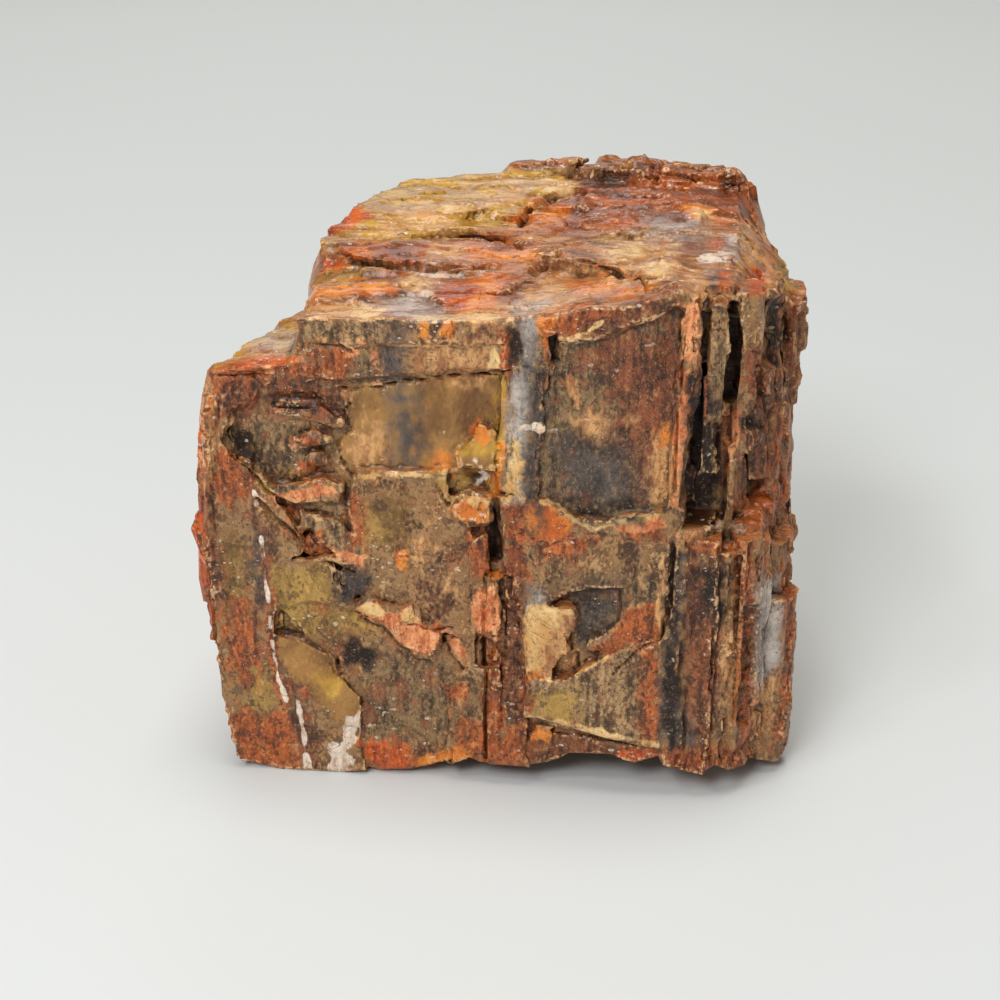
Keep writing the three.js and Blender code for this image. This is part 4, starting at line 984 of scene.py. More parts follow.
@dataclass
class Facing:
    """How much each point belongs to each face of the block, from 0 to 1."""

    front: np.ndarray
    top: np.ndarray
    right: np.ndarray
    left: np.ndarray
    under: np.ndarray

    UPRIGHT_FROM = 0.35
    LEVEL_FROM = 0.4
    FULL = 0.75

    @classmethod
    def of(cls, normals: np.ndarray) -> "Facing":
        """Reads it from the directions that the points face."""
        return cls(
            front=ease(cls.UPRIGHT_FROM, cls.FULL, -normals[:, 1]),
            top=ease(cls.LEVEL_FROM, cls.FULL, normals[:, 2]),
            right=ease(cls.UPRIGHT_FROM, cls.FULL, normals[:, 0]),
            left=ease(cls.UPRIGHT_FROM, cls.FULL, -normals[:, 0]),
            under=ease(cls.LEVEL_FROM, cls.FULL, -normals[:, 2]),
        )


@dataclass
class PatchMap:
    """Finds how far points lie inside the patches and the cracks."""

    view: Viewpoint
    points: np.ndarray
    normals: np.ndarray
    pixels: np.ndarray = field(init=False)

    FRONT_END_MM = -43.0
    TOP_START_MM = 90.0
    RIGHT_START_MM = 38.0
    FRONT_STEEPEST = 0.8
    TOP_STEEPEST = 0.25
    RIGHT_STEEPEST = 0.5
    OUTSIDE_MM = -9.0

    def __post_init__(self) -> None:
        """Carries the points into the picture."""
        self.pixels = self.view.project(self.points)

    def on(self, side: Side) -> np.ndarray:
        """Returns: which points a patch on that side can reach."""
        if side is Side.FRONT:
            return (self.points[:, 1] < self.FRONT_END_MM) & (self.normals[:, 2] < self.FRONT_STEEPEST)
        if side is Side.TOP:
            return (self.points[:, 2] > self.TOP_START_MM) & (self.normals[:, 2] > self.TOP_STEEPEST)
        return (self.points[:, 0] > self.RIGHT_START_MM) & (self.normals[:, 1] < self.RIGHT_STEEPEST)

    def inside_mm(self, side: Side, line: Outline, width: float) -> np.ndarray:
        """Measures how far points lie inside an area or a wide line.

        Args:
            side: the face that it is on.
            line: its corners or points, in pixels.
            width: the width of a line, in pixels, or 0 for an area.

        Returns:
            The distance in mm, negative outside.
        """
        scale = self.view.pixels_per_mm()
        margin = -self.OUTSIDE_MM * scale
        corners = np.array(line, float)
        low, high = corners.min(0) - margin, corners.max(0) + margin
        near = self.on(side) & (self.pixels > low).all(1) & (self.pixels < high).all(1)
        result = np.full(self.points.shape[0], self.OUTSIDE_MM)
        places = self.pixels[near]
        if not len(places):
            return result
        distance = line_distance(places, line, closed=width == 0)
        if width:
            result[near] = (width / 2 - distance) / scale
        else:
            result[near] = np.where(inside(places, line), distance, -distance) / scale
        return np.maximum(result, self.OUTSIDE_MM)


@dataclass
class Stone:
    """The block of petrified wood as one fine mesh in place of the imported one.

    Attributes:
        node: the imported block.
        view: the camera that the patches are carried along.
        voxel_mm: the length of the faces of the fine mesh.
        most_triangles: how many triangles are left after thinning.
        sharp_deg: the bend from which an edge is shown sharp.
        front_mm: where the front's outermost flakes are along Y.
        shallower: how much of the front's depth behind them is taken away.
        rounding: how many rounds of averaging the worn parts get.
        floor_mm: the heights between which the relief grows from floor_share to the whole.
        floor_share: the share of the relief that the foot of the block has.
        resting_mm: the height below which points stay on the floor.
        hairline_px: the width that a crack's line counts with, which is next to nothing.
        raised_edge_mm: half of the width of a raised patch's edge.
        sunken_edge_mm: half of the width of a sunken patch's edge.
    """

    node: bpy.types.Object
    view: Viewpoint
    voxel_mm: float = 0.62
    quick_voxel_mm: float = 1.1
    most_triangles: int = 196_000
    sharp_deg: float = 34.0
    front_mm: float = -54.0
    shallower: float = 0.4
    rounding: int = 50
    floor_mm: tuple[float, float] = (0.3, 2.5)
    floor_share: float = 0.35
    resting_mm: float = 0.4
    hairline_px: float = 1e-6
    raised_edge_mm: float = 0.45
    sunken_edge_mm: float = 0.9

    def build(self) -> bpy.types.Object:
        """Makes the mesh, sculpts it, thins it and stores what its finish reads.

        Returns:
            The finished piece, with no material yet.
        """
        piece = self._copy()
        self._remesh(piece)
        self._sculpt(piece.data)
        self._thin(piece)
        self._record(piece.data)
        return piece

    def _copy(self) -> bpy.types.Object:
        """Returns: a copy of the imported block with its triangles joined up."""
        bpy.ops.object.select_all(action="DESELECT")
        self.node.select_set(True)
        bpy.context.view_layer.objects.active = self.node
        bpy.ops.object.duplicate(linked=False)
        piece = bpy.context.object
        piece.name = "stone"
        piece.parent = None
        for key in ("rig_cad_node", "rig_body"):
            if key in piece:
                del piece[key]
        piece.data.materials.clear()
        bpy.ops.object.mode_set(mode="EDIT")
        bpy.ops.mesh.select_all(action="SELECT")
        bpy.ops.mesh.remove_doubles(threshold=1e-6)
        bpy.ops.object.mode_set(mode="OBJECT")
        return piece

    def _remesh(self, piece: bpy.types.Object) -> None:
        """Gives the piece small even faces."""
        bpy.ops.object.modifier_add(type="REMESH")
        modifier = piece.modifiers[-1]
        modifier.mode = "VOXEL"
        modifier.voxel_size = self.voxel_mm * MM
        bpy.ops.object.modifier_apply(modifier=modifier.name)

    def _sculpt(self, mesh: bpy.types.Mesh) -> None:
        """Breaks the surfaces up: wavering edges, chips, ribs, crumbling grains and cracks."""
        surface = Surface(mesh)
        normals = surface.calm_normals(rounds=3)
        facing = Facing.of(normals)
        patches = PatchMap(self.view, surface.points, normals)
        points = self._worn(surface) + self._waver(surface.points, facing)
        height = self._relief(points, facing, patches)
        height += self._lifts(patches)
        height -= self._cracks(patches)
        near_floor = ease(*self.floor_mm, surface.points[:, 2])
        points += normals * (height * (self.floor_share + (1 - self.floor_share) * near_floor))[:, None]
        resting = surface.points[:, 2] < self.resting_mm
        points[:, 2] = np.where(resting, 0.0, np.maximum(points[:, 2], 0.0))
        surface.write(points)

    def _worn(self, surface: Surface) -> np.ndarray:
        """Returns: the points with the front's relief made shallower and the smooth parts rounded."""
        above_floor_mm = 1.0
        points = surface.points.copy()
        behind = np.maximum(points[:, 1] - self.front_mm, 0.0) * (points[:, 2] > above_floor_mm)
        points[:, 1] -= self.shallower * FRONT_ZONE.share(points) * behind
        share = np.clip(sum(zone.share(points) for zone in ROUND_ZONES.values()), 0.0, 1.0)[:, None]
        return points + share * (surface.spread(points, self.rounding) - points)

    def _waver(self, points: np.ndarray, facing: Facing) -> np.ndarray:
        """Returns: small shifts that bend the straight edges of flakes and layers."""
        jump_mm, first_spread, spread_step = 0.22, 7.3, 3.1
        jump, _ = JUMPS.at(points)
        shift = np.zeros_like(points)
        for axis in range(3):
            jumps = np.modf(jump * (first_spread + spread_step * axis))[0] - 0.5
            shift[:, axis] = sum(texture.at(points, axis) for texture in WAVER) + jump_mm * jumps
        shift[:, 2] *= 1 - 0.9 * facing.under
        return shift

    def _relief(self, points: np.ndarray, facing: Facing, patches: PatchMap) -> np.ndarray:
        """Returns: how far each point moves out or in, in mm, for the broken texture."""
        smooth = self._share(patches, SMOOTH_PARTS)
        gritty = self._share(patches, GRITTY_PARTS)
        rough = (1 - 0.9 * smooth) * (1 + 2.2 * gritty)
        bent = points + BEND.shifts(points)
        front = sum(texture.at(points) for texture in FRONT_TEXTURES)
        crumb, crumb_gap = RIM_CRUMBS.at(bent)
        top = sum(texture.at(points) for texture in TOP_TEXTURES) + self._rim(points) * (crumb - 0.7 * crumb_gap)
        block, block_gap = SIDE_BLOCKS.at(bent)
        split = 1.2 * ease(-0.15, 0.3, SIDE_SPLITS.at(points))
        side = SIDE_RIBS.at(bent) - split * block_gap + block + SIDE_GRIT.at(points)
        flank = np.clip(facing.right + 0.7 * facing.left, 0, 1)
        total = front * (1 - facing.top) * (1 - flank) + top * facing.top + side * flank * (1 - facing.top)
        return total * np.where(facing.top + flank > 0.5, 1.0, rough)

    @staticmethod
    def _rim(points: np.ndarray) -> np.ndarray:
        """Returns: how much each point belongs to the crumbling back rim of the top, from 0 to 1."""
        slant = 0.12
        return ease(34.0, 44.0, points[:, 1] + slant * points[:, 0]) * ease(-6.0, 6.0, points[:, 0])

    @staticmethod
    def _share(patches: PatchMap, names: tuple[str, ...]) -> np.ndarray:
        """Returns: how far points belong to any of the named patches of the front, from 0 to 1."""
        total = np.zeros(patches.points.shape[0])
        for name in names:
            patch = FRONT_PATCHES[name]
            total = np.maximum(total, ease(-0.6, 0.8, patches.inside_mm(Side.FRONT, patch.outline, patch.width)))
        return total

    def _lifts(self, patches: PatchMap) -> np.ndarray:
        """Returns: how far the raised and the sunken patches move their points, in mm."""
        ragged = LIFT_RAGGED.at(patches.points)
        total = np.zeros(patches.points.shape[0])
        for side, named in PATCHES.items():
            for patch in named.values():
                if patch.lift:
                    distance = patches.inside_mm(side, patch.outline, patch.width)
                    edge = self.raised_edge_mm if patch.lift > 0 else self.sunken_edge_mm
                    total += patch.lift * ease(-edge, edge, distance + ragged)
        return total

    def _cracks(self, patches: PatchMap) -> np.ndarray:
        """Returns: how deep the cracks cut, in mm."""
        ragged = CRACK_RAGGED.at(patches.points)
        total = np.zeros(patches.points.shape[0])
        for side, named in CRACKS.items():
            for crack in named.values():
                away = -patches.inside_mm(side, crack.line, self.hairline_px) + ragged
                total = np.maximum(total, crack.depth * (1 - ease(0.0, 2 * crack.half_width, away)))
        return total

    def _thin(self, piece: bpy.types.Object) -> None:
        """Thins the mesh, most where the photograph doesn't look."""
        faces = sum(len(polygon.vertices) - 2 for polygon in piece.data.polygons)
        if faces > self.most_triangles:
            group = piece.vertex_groups.new(name="spare")
            hidden = self._hidden(Surface(piece.data))
            group.add(np.flatnonzero(hidden).tolist(), 1.0, "REPLACE")
            group.add(np.flatnonzero(~hidden).tolist(), 0.2, "REPLACE")
            bpy.ops.object.modifier_add(type="DECIMATE")
            modifier = piece.modifiers[-1]
            modifier.ratio = self.most_triangles / faces
            modifier.vertex_group = group.name
            modifier.vertex_group_factor = 1.0
            bpy.ops.object.modifier_apply(modifier=modifier.name)
            piece.vertex_groups.remove(piece.vertex_groups["spare"])
        bpy.ops.object.shade_smooth_by_angle(angle=math.radians(self.sharp_deg))

    @staticmethod
    def _hidden(surface: Surface) -> np.ndarray:
        """Returns: which points the photograph doesn't show, or hardly."""
        rear_mm = 20
        toward_x, toward_y, toward_z = surface.spread(surface.normals, 4).T
        turned_away = (toward_y > 0.4) | (toward_z < -0.4) | (toward_x < -0.6)
        return turned_away | ((toward_x > 0.6) & (surface.points[:, 1] > rear_mm))

    def _record(self, mesh: bpy.types.Mesh) -> None:
        """Stores each colour's patches, the faces of the block and its edges and hollows."""
        surface = Surface(mesh)
        normals = surface.calm_normals(rounds=6)
        facing = Facing.of(normals)
        patches = PatchMap(self.view, surface.points, normals)
        fields = {tint: np.full(len(surface.points), PatchMap.OUTSIDE_MM) for tint in Tint}
        for side, named in PATCHES.items():
            for patch in named.values():
                distance = patches.inside_mm(side, patch.outline, patch.width) / patch.soft
                distance = np.where(patches.on(side), distance, PatchMap.OUTSIDE_MM)
                fields[patch.tint] = np.maximum(fields[patch.tint], distance)
        for tint, values in fields.items():
            surface.store(tint, values)
        surface.store(Mark.FRONT, facing.front)
        surface.store(Mark.TOP, facing.top)
        surface.store(Mark.FLANK, facing.right + facing.left)
        for mark, rounds in ((Mark.EDGE, 2), (Mark.HOLLOW, 14)):
            smooth = surface.spread(surface.points, rounds)
            surface.store(mark, np.einsum("ij,ij->i", surface.points - smooth, surface.normals))


class Wire:
    """A shader socket that takes part in arithmetic."""

    def __init__(self, graph: "Graph", socket: bpy.types.NodeSocket) -> None:
        """Takes the graph that the socket is in, and the socket."""
        self.graph = graph
        self.socket = socket

    def _with(self, operation: str, first: Any, second: Any = None) -> "Wire":
        """Returns: the result of a Math node on one or two values."""
        values = {0: first} if second is None else {0: first, 1: second}
        return Wire(self.graph, self.graph.node("ShaderNodeMath", {"operation": operation}, values).outputs[0])

    def __add__(self, other: Any) -> "Wire":
        """Returns: the sum."""
        return self._with("ADD", self, other)

    def __radd__(self, other: Any) -> "Wire":
        """Returns: the sum."""
        return self._with("ADD", other, self)

    def __sub__(self, other: Any) -> "Wire":
        """Returns: the difference."""
        return self._with("SUBTRACT", self, other)

    def __rsub__(self, other: Any) -> "Wire":
        """Returns: the difference."""
        return self._with("SUBTRACT", other, self)

    def __mul__(self, other: Any) -> "Wire":
        """Returns: the product."""
        return self._with("MULTIPLY", self, other)

    def __rmul__(self, other: Any) -> "Wire":
        """Returns: the product."""
        return self._with("MULTIPLY", other, self)

    def size(self) -> "Wire":
        """Returns: the value without its sign."""
        return self._with("ABSOLUTE", self)

    def clamp(self) -> "Wire":
        """Returns: the value held between 0 and 1."""
        node = self.graph.node("ShaderNodeClamp", {}, {"Value": self})
        return Wire(self.graph, node.outputs[0])

    def ramp(self, low: float, high: float) -> "Wire":
        """Returns: 0 below low, 1 above high and a smooth rise between them."""
        values = {"Value": self, "From Min": low, "From Max": high}
        node = self.graph.node("ShaderNodeMapRange", {"interpolation_type": "SMOOTHSTEP"}, values)
        return Wire(self.graph, node.outputs["Result"])


class Graph:
    """The nodes of one material."""

    def __init__(self, material: bpy.types.Material) -> None:
        """Clears the material's nodes and starts anew."""
        material.use_nodes = True
        self.tree = material.node_tree
        self.tree.nodes.clear()

    def node(self, kind: str, settings: dict[str, Any], values: dict[Any, Any]) -> bpy.types.Node:
        """Adds a node.

        Args:
            kind: the node's type.
            settings: its settings, with a ramp's colours under "stops".
            values: a number, a colour or a Wire for each of its inputs, by name or place.

        Returns:
            The node.
        """
        node = self.tree.nodes.new(kind)
        for name, value in settings.items():
            if name == "stops":
                elements = node.color_ramp.elements
                while len(elements) < len(value):
                    elements.new(0.5)
                for element, (place, colour) in zip(elements, value):
                    element.position = place
                    element.color = colour
            else:
                setattr(node, name, value)
        for name, value in values.items():
            socket = node.inputs[name]
            if isinstance(value, Wire):
                self.tree.links.new(value.socket, socket)
            else:
                socket.default_value = value
        return node

    def attribute(self, mark: Tint | Mark) -> Wire:
        """Returns: a number stored on the mesh."""
        node = self.node("ShaderNodeAttribute", {"attribute_name": mark.value}, {})
        return Wire(self, node.outputs["Fac"])

    def place(self, spread_mm: Triple) -> Wire:
        """Returns: the place on the piece, counted in the given lengths along X, Y and Z."""
        coordinates = self.node("ShaderNodeTexCoord", {}, {})
        scale = tuple(1 / (length * MM) for length in spread_mm)
        values = {0: Wire(self, coordinates.outputs["Object"]), 1: scale}
        node = self.node("ShaderNodeVectorMath", {"operation": "MULTIPLY"}, values)
        return Wire(self, node.outputs["Vector"])

    def noise(self, cloud: "Cloud") -> Wire:
        """Returns: noise from 0 to 1."""
        place = self.place(cloud.spread_mm)
        values = {"Vector": place, "Scale": 1.0, "Detail": cloud.detail, "Distortion": cloud.warp}
        return Wire(self, self.node("ShaderNodeTexNoise", {}, values).outputs["Fac"])

    def grains(self, spread_mm: Triple) -> tuple[Wire, Wire]:
        """Returns: the distance to the middle of the nearest grain, and a number of its own."""
        node = self.node("ShaderNodeTexVoronoi", {}, {"Vector": self.place(spread_mm), "Scale": 1.0})
        return Wire(self, node.outputs["Distance"]), Wire(self, node.outputs["Color"])

    def mix(self, share: Any, first: Any, second: Any) -> Wire:
        """Returns: a colour between two colours, which are the node's sockets 6 and 7."""
        node = self.node("ShaderNodeMix", {"data_type": "RGBA"}, {0: share, 6: first, 7: second})
        return Wire(self, node.outputs[2])

    def colours(self, share: Wire, stops: Stops) -> Wire:
        """Returns: the colour of a ramp at a number from 0 to 1."""
        settings = {"stops": [(place, linear(colour)) for place, colour in stops]}
        return Wire(self, self.node("ShaderNodeValToRGB", settings, {"Fac": share}).outputs["Color"])

    def surface(self, values: dict[str, Any]) -> None:
        """Makes what the material shows, from a number, a colour or a Wire for each input of its shader."""
        shader = self.node("ShaderNodeBsdfPrincipled", {}, values)
        self.node("ShaderNodeOutputMaterial", {}, {"Surface": Wire(self, shader.outputs["BSDF"])})


def linear(colour: Colour) -> tuple[float, float, float, float]:
    """Returns: a screen colour, from 0 to 255 each, as a light colour for a shader."""
    parts = []
    for part in colour:
        share = part / 255
        parts.append(share / 12.92 if share <= 0.04045 else ((share + 0.055) / 1.055) ** 2.4)
    return (parts[0], parts[1], parts[2], 1.0)


@dataclass(frozen=True)
class Cloud:
    """A noise of the material.

    Attributes:
        spread_mm: how long its lumps are along X, Y and Z.
        detail: how much finer noise lies over it.
        warp: how far it is bent by itself.
    """

    spread_mm: Triple
    detail: float = 3.0
    warp: float = 0.0


@dataclass(frozen=True)
class Chips:
    """Small chips of two kinds, each in its own grain of the stone.

    Attributes:
        spread_mm: how long the grains are along X, Y and Z.
        rusty: the number above which a grain has a rusty chip.
        dark: the number below which a grain has a dark chip.
    """

    spread_mm: Triple
    rusty: float
    dark: float


@dataclass(frozen=True)
class StoneFinish:
    """Agatized wood: layered mineral colours, pale flecks, painted highlights on edges and painted shade in
    hollows.

    Attributes:
        fleck, pale_highlight, dirt_and_shade, resin: the colours of pale flecks, of pale grit and painted edge
        highlights, of hairlines, grit and painted shade in hollows, pits and round chips, and of the glassy brown
        that lies over the top.
        rust_chip, dark_chip: the colours of the chips.
        layer_stops, brown_stops: the colours of the growth layers and of the browned front.
        grain, fine, sand: noises that most of what follows shares, from coarse to fine.
        long, streaks, drift: lumps along the top, streaks up the front, and clouds of the glassy colours.
        broad_layers, thin_layers, blotches: the growth layers and the blotches of the browned front.
        patchy: where flecks lie.
        corners_mm, facets_mm: the grains that notch the colours' edges and those of the fine relief.
        chips, veins, flecks: their sizes, and how many there are or how wide they are.
    """

    name: str = "agatized_wood"
    fleck: Colour = (244, 226, 200)
    # pale colour of grit specks, and of the painted highlights on edges
    pale_highlight: Colour = (240, 196, 142)
    # dark brown of hairlines and grit, also used for painted shade in hollows, pits and round chips
    dirt_and_shade: Colour = (44, 22, 14)
    resin: Colour = (118, 60, 18)
    rust_chip: Colour = (176, 94, 56)
    dark_chip: Colour = (62, 40, 28)
    layer_stops: Stops = (
        (0.24, (88, 44, 28)),
        (0.33, (136, 66, 34)),
        (0.4, (192, 108, 56)),
        (0.46, (178, 120, 62)),
        (0.52, (112, 66, 42)),
        (0.58, (162, 104, 56)),
        (0.64, (212, 150, 78)),
        (0.7, (146, 110, 84)),
        (0.78, (158, 88, 54)),
    )
    brown_stops: Stops = (
        (0.34, (66, 42, 26)),
        (0.43, (122, 90, 58)),
        (0.52, (168, 132, 90)),
        (0.6, (136, 98, 60)),
        (0.68, (196, 158, 106)),
    )
    grain: Cloud = Cloud((3.0, 2.2, 5.0))
    fine: Cloud = Cloud((0.8, 0.7, 1.1))
    sand: Cloud = Cloud((0.28, 0.28, 0.34), 1.0)
    long: Cloud = Cloud((8.0, 2.6, 3.0), 2.5, 0.6)
    streaks: Cloud = Cloud((1.4, 1.1, 11.0), 3.0, 0.3)
    drift: Cloud = Cloud((9.0, 5.0, 14.0), 3.0, 0.6)
    broad_layers: Cloud = Cloud((30.0, 4.2, 80.0), 3.0, 0.5)
    thin_layers: Cloud = Cloud((13.0, 1.5, 40.0), 3.5, 0.4)
    blotches: Cloud = Cloud((8.0, 6.0, 11.0), 4.0, 0.5)
    patchy: Cloud = Cloud((14.0, 9.0, 18.0))
    corners_mm: Triple = (2.6, 1.6, 3.2)
    facets_mm: Triple = (1.3, 1.1, 1.9)
    chips: tuple[Chips, ...] = (Chips((3.6, 2.6, 3.0), 0.61, 0.37), Chips((6.5, 4.0, 9.0), 0.63, 0.35))
    veins: tuple[tuple[Cloud, float], ...] = (
        (Cloud((12.0, 8.0, 14.0), 3.0, 0.6), 0.007),
        (Cloud((4.5, 3.0, 7.0), 3.0, 0.6), 0.012),
    )
    flecks: tuple[tuple[Triple, float], ...] = (((1.9, 1.3, 0.9), 0.7), ((3.8, 2.4, 1.9), 0.66))
    ground_roughness: float = 0.42
    resin_share: float = 0.22
    chip_share: float = 0.36
    dark_chip_share: float = 0.5
    vein_share: float = 0.65
    fleck_share: float = 0.62
    # how strongly the painted highlight lightens edges
    edge_highlight_share: float = 0.7
    ior: float = 1.5
    gloss: float = 0.4
    scatter: float = 0.22
    scatter_radius: Triple = (1.0, 0.5, 0.25)
    scatter_m: float = 0.0016
    bump_strength: float = 0.75
    bump_m: float = 0.0009

    def material(self) -> bpy.types.Material:
        """Makes the material and returns it."""
        material = bpy.data.materials.new(self.name)
        graph = Graph(material)
        grain = graph.noise(self.grain)
        fine = graph.noise(self.fine)
        sand = graph.noise(self.sand)
        corners, _ = graph.grains(self.corners_mm)
        lies = graph.attribute(Mark.TOP)
        long = graph.noise(self.long)
        upright_ragged = (grain - 0.5) * 1.4 + (corners - 0.45) * 1.1
        ragged = lies * (long - 0.5) * 2.2 + (1 - lies) * upright_ragged + (fine - 0.5) * 0.35
        streaks = graph.noise(self.streaks)
        calm = (graph.noise(self.drift) * 0.84 + fine * 0.16).ramp(0.34, 0.66)
        upright_tone = (streaks * 0.42 + grain * 0.26 + fine * 0.24 + sand * 0.08).ramp(0.39, 0.6)
        tone = lies * calm + (1 - lies) * upright_tone
        colour = self._ground(graph, fine)
        rough: Wire | float = self.ground_roughness
        for tint in Tint:
            pigment = PIGMENTS[tint]
            mask = (graph.attribute(tint) + ragged * pigment.ragged_mm).ramp(-pigment.edge_mm, pigment.edge_mm)
            paint = graph.mix(calm if pigment.glassy else tone, linear(pigment.dark), linear(pigment.light))
            colour = graph.mix(mask, colour, paint)
            if tint is Tint.PLUM:
                colour = self._chipped(graph, colour, fine)
            rough = mask * pigment.roughness + (1 - mask) * rough
        colour = graph.mix(lies * self.resin_share, colour, linear(self.resin))
        graph.surface({
            "Base Color": self._weathered(graph, colour, grain, fine, sand),
            "Roughness": ((rough + (fine - 0.5) * 0.3) * (1 - 0.3 * lies)).clamp(),
            "Normal": self._bump(graph, grain, fine, sand),
            "IOR": self.ior,
            "Specular IOR Level": self.gloss,
            "Subsurface Weight": self.scatter,
            "Subsurface Radius": self.scatter_radius,
            "Subsurface Scale": self.scatter_m,
        })
        return material

    def _ground(self, graph: Graph, fine: Wire) -> Wire:
        """Returns: the colours under the patches: growth layers, and the browned front."""
        broad = graph.noise(self.broad_layers)
        thin = graph.noise(self.thin_layers)
        layers = graph.colours((broad * 0.5 + thin * 0.5 - 0.5) * 1.25 + 0.5, self.layer_stops)
        blotch = graph.noise(self.blotches) * 0.7 + fine * 0.3
        brown = graph.colours((blotch - 0.5) * 1.3 + 0.5, self.brown_stops)
        return graph.mix(graph.attribute(Mark.FRONT) * 0.85, layers, brown)

    def _chipped(self, graph: Graph, colour: Wire, fine: Wire) -> Wire:
        """Returns: the colours with small rusty and dark chips, outlined in a dark line of painted shade, scattered
        over them.
        """
        for chips in self.chips:
            distance, number = graph.grains(chips.spread_mm)
            reach = distance + (fine - 0.5) * 1.1
            chip = 1 - reach.ramp(0.3, 0.36)
            rusty = number.ramp(chips.rusty, chips.rusty + 0.01)
            darker = 1 - number.ramp(chips.dark - 0.01, chips.dark)
            colour = graph.mix(chip * rusty * self.chip_share, colour, linear(self.rust_chip))
            colour = graph.mix(chip * darker * self.dark_chip_share, colour, linear(self.dark_chip))
            # Painted shade: a dark line round each rusty or dark chip.
            outline = 1 - (reach - 0.36).size().ramp(0.01, 0.05)
            colour = graph.mix(outline * (rusty + darker) * 0.5, colour, linear(self.dirt_and_shade))
        return colour

    def _weathered(self, graph: Graph, colour: Wire, grain: Wire, fine: Wire, sand: Wire) -> Wire:
        """Finishes the colours with hairlines, pale flecks, grit, painted highlights on edges and painted shade in
        the hollows and pits.

        Args:
            graph: the nodes of the material.
            colour: the colours so far.
            grain: the coarse noise.
            fine: the finer one.
            sand: the finest one.

        Returns:
            The finished colours.
        """
        dirt_and_shade = linear(self.dirt_and_shade)
        flank = graph.attribute(Mark.FLANK)
        dull = 1 - 0.85 * graph.attribute(Tint.GOLD).ramp(-0.5, 1.5)
        for cloud, reach in self.veins:
            vein = 1 - (graph.noise(cloud) - 0.5).size().ramp(0.001, reach)
            colour = graph.mix(vein * grain.ramp(0.47, 0.53) * dull * self.vein_share, colour, dirt_and_shade)
        patchy = graph.noise(self.patchy).ramp(0.42, 0.56)
        for spread_mm, share in self.flecks:
            distance, number = graph.grains(spread_mm)
            fleck = (1 - (distance + (fine - 0.5) * 1.2).ramp(0.1, 0.17)) * number.ramp(share, share + 0.03)
            colour = graph.mix(fleck * patchy * self.fleck_share, colour, linear(self.fleck))
        gritty = dull * (1 - 0.8 * graph.attribute(Mark.TOP))
        # Pale grit specks, partly painted glints; the line after adds darker grit.
        colour = graph.mix((sand * 0.5 + fine * 0.5).ramp(0.53, 0.68) * gritty * 0.24, colour, linear(self.pale_highlight))
        colour = graph.mix((0.5 - sand * 0.5 - fine * 0.5).ramp(0.02, 0.14) * gritty * 0.32, colour, dirt_and_shade)
        # Painted highlight: convex edges lightened in patches, half as much on the flanks.
        edge = graph.attribute(Mark.EDGE).ramp(0.06, 0.2) * (fine * 0.5 + grain * 0.5).ramp(0.48, 0.58)
        pale_highlight = graph.mix(patchy, linear(self.rust_chip), linear(self.pale_highlight))
        colour = graph.mix(edge * (1 - 0.5 * flank) * self.edge_highlight_share, colour, pale_highlight)
        # Painted shade: darkening in the hollows and gaps of the mesh, stronger on the flanks.
        hollow = (0.0 - graph.attribute(Mark.HOLLOW)).ramp(0.15, 1.5)
        colour = graph.mix(hollow * (0.64 + 0.3 * flank), colour, dirt_and_shade)
        # Painted shade in small pits.
        pit_shade = (0.0 - graph.attribute(Mark.EDGE)).ramp(0.05, 0.2)
        return graph.mix(pit_shade * grain.ramp(0.4, 0.55) * 0.6, colour, dirt_and_shade)

    def _bump(self, graph: Graph, grain: Wire, fine: Wire, sand: Wire) -> Wire:
        """Returns: the small relief that is finer than the mesh."""
        facets, _ = graph.grains(self.facets_mm)
        relief = fine * 0.46 + sand * 0.12 + grain * 0.2 + facets * 0.22
        height = relief * (1 - 0.6 * graph.attribute(Mark.TOP))
        values = {"Strength": self.bump_strength, "Distance": self.bump_m, "Height": height}
        return Wire(graph, graph.node("ShaderNodeBump", {}, values).outputs["Normal"])


@dataclass(frozen=True)
class Lamp:
    """A soft square light that faces the block.

    Attributes:
        name: what it is called.
        place: where it is, in metres.
        size: the length of its side, in metres.
        power: its power, in watts.
    """

    name: str
    place: Triple
    size: float
    power: float


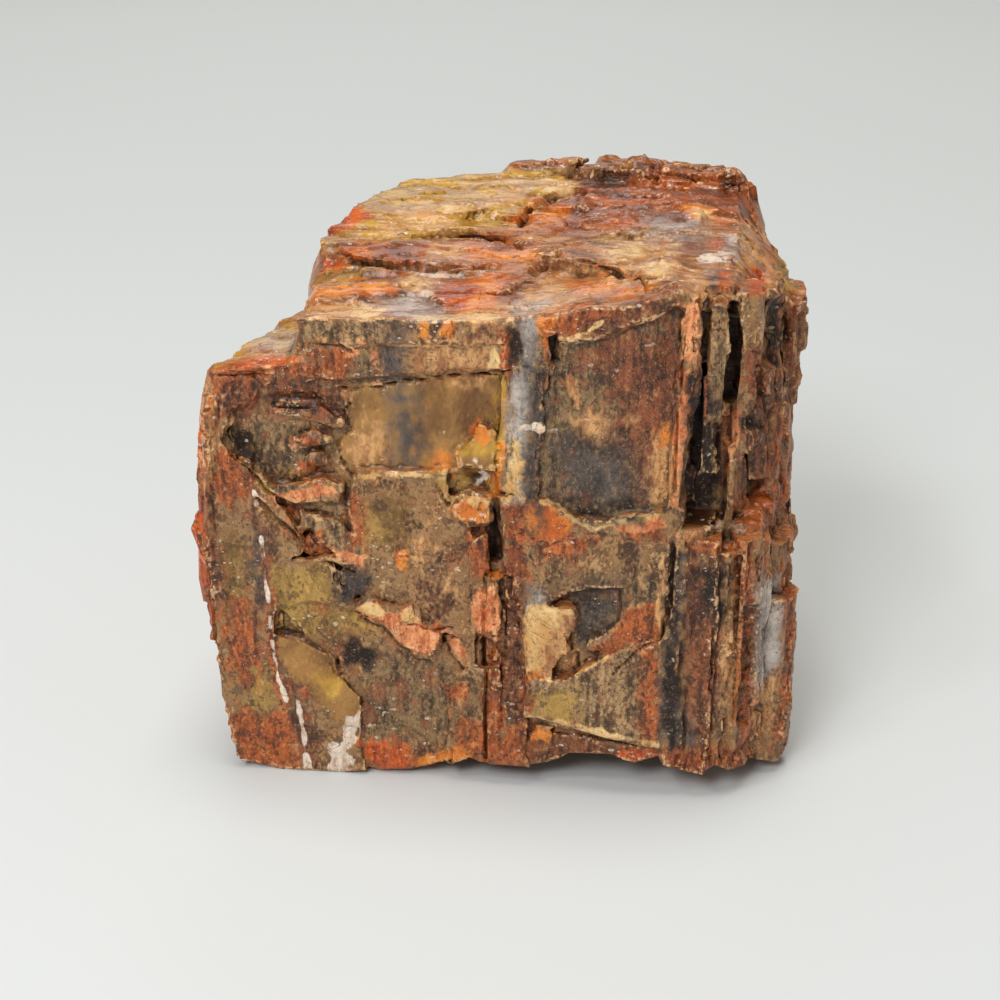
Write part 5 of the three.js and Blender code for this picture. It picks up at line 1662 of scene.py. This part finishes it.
@dataclass
class Studio:
    """The pale floor, the lights and the camera."""

    view: Viewpoint
    floor_size: float = 14.0
    floor_colour: Colour = (207, 210, 211)
    floor_roughness: float = 0.7
    floor_gloss: float = 0.2
    sun_from: Triple = (0.03, 0.04, 0.95)
    sun_strength: float = 1.62
    sun_colour: Triple = (1.0, 0.965, 0.89)
    sun_angle: float = 0.5
    sky_colour: Colour = (240, 241, 238)
    sky: float = 0.34
    aim_at: Triple = (0.0, 0.0, 0.06)
    lamps: tuple[Lamp, ...] = (
        Lamp("back_light", (-0.25, 1.2, 0.72), 0.5, 1.1),
        Lamp("glint_light", (-0.4, -0.5, 0.9), 0.2, 2.0),
        Lamp("front_light", (-0.35, -1.1, 1.05), 0.45, 10.5),
    )

    def build(self) -> None:
        """Makes the stage and aims the camera."""
        self.view.camera()
        self._floor()
        self._sun()
        for lamp in self.lamps:
            self._light(lamp)
        self._sky()
        bpy.context.scene.view_settings.view_transform = "Standard"

    def _floor(self) -> None:
        """Lays a wide plain floor."""
        bpy.ops.object.select_all(action="DESELECT")
        bpy.ops.mesh.primitive_plane_add(size=self.floor_size, location=(0, 0, 0))
        floor = bpy.context.object
        floor.name = "floor"
        material = bpy.data.materials.new("studio_floor")
        Graph(material).surface({
            "Base Color": linear(self.floor_colour),
            "Roughness": self.floor_roughness,
            "Specular IOR Level": self.floor_gloss,
        })
        floor.data.materials.append(material)

    def _sun(self) -> None:
        """Hangs the broad main light, which falls evenly on the block and the floor."""
        bpy.ops.object.light_add(type="SUN", location=self.sun_from)
        light = bpy.context.object
        light.name = "main_light"
        light.data.energy = self.sun_strength
        light.data.color = self.sun_colour
        light.data.angle = self.sun_angle
        light.rotation_euler = (-Vector(self.sun_from)).to_track_quat("-Z", "Y").to_euler()

    def _light(self, lamp: Lamp) -> None:
        """Hangs a lamp."""
        bpy.ops.object.light_add(type="AREA", location=lamp.place)
        light = bpy.context.object
        light.name = lamp.name
        light.data.shape = "SQUARE"
        light.data.size = lamp.size
        light.data.energy = lamp.power
        aim = Vector(self.aim_at) - Vector(lamp.place)
        light.rotation_euler = aim.to_track_quat("-Z", "Y").to_euler()

    def _sky(self) -> None:
        """Fills the surroundings with even pale light."""
        world = bpy.data.worlds.new("studio")
        bpy.context.scene.world = world
        world.use_nodes = True
        background = world.node_tree.nodes["Background"]
        background.inputs["Color"].default_value = linear(self.sky_colour)
        background.inputs["Strength"].default_value = self.sky


def main() -> None:
    """Builds the block and its stage, puts the fine stone on the root body and hides the imported block."""
    logging.basicConfig(level=logging.INFO, format="%(name)s: %(message)s")
    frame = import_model()
    view = Viewpoint()
    Studio(view).build()
    stone = Stone(frame["nodes"]["petrified_wood"], view).build()
    stone.data.materials.append(StoneFinish().material())
    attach(stone, "root")
    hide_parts("petrified_wood")
    LOG.info("stone: %d faces", len(stone.data.polygons))


if __name__ == "__main__":
    main()
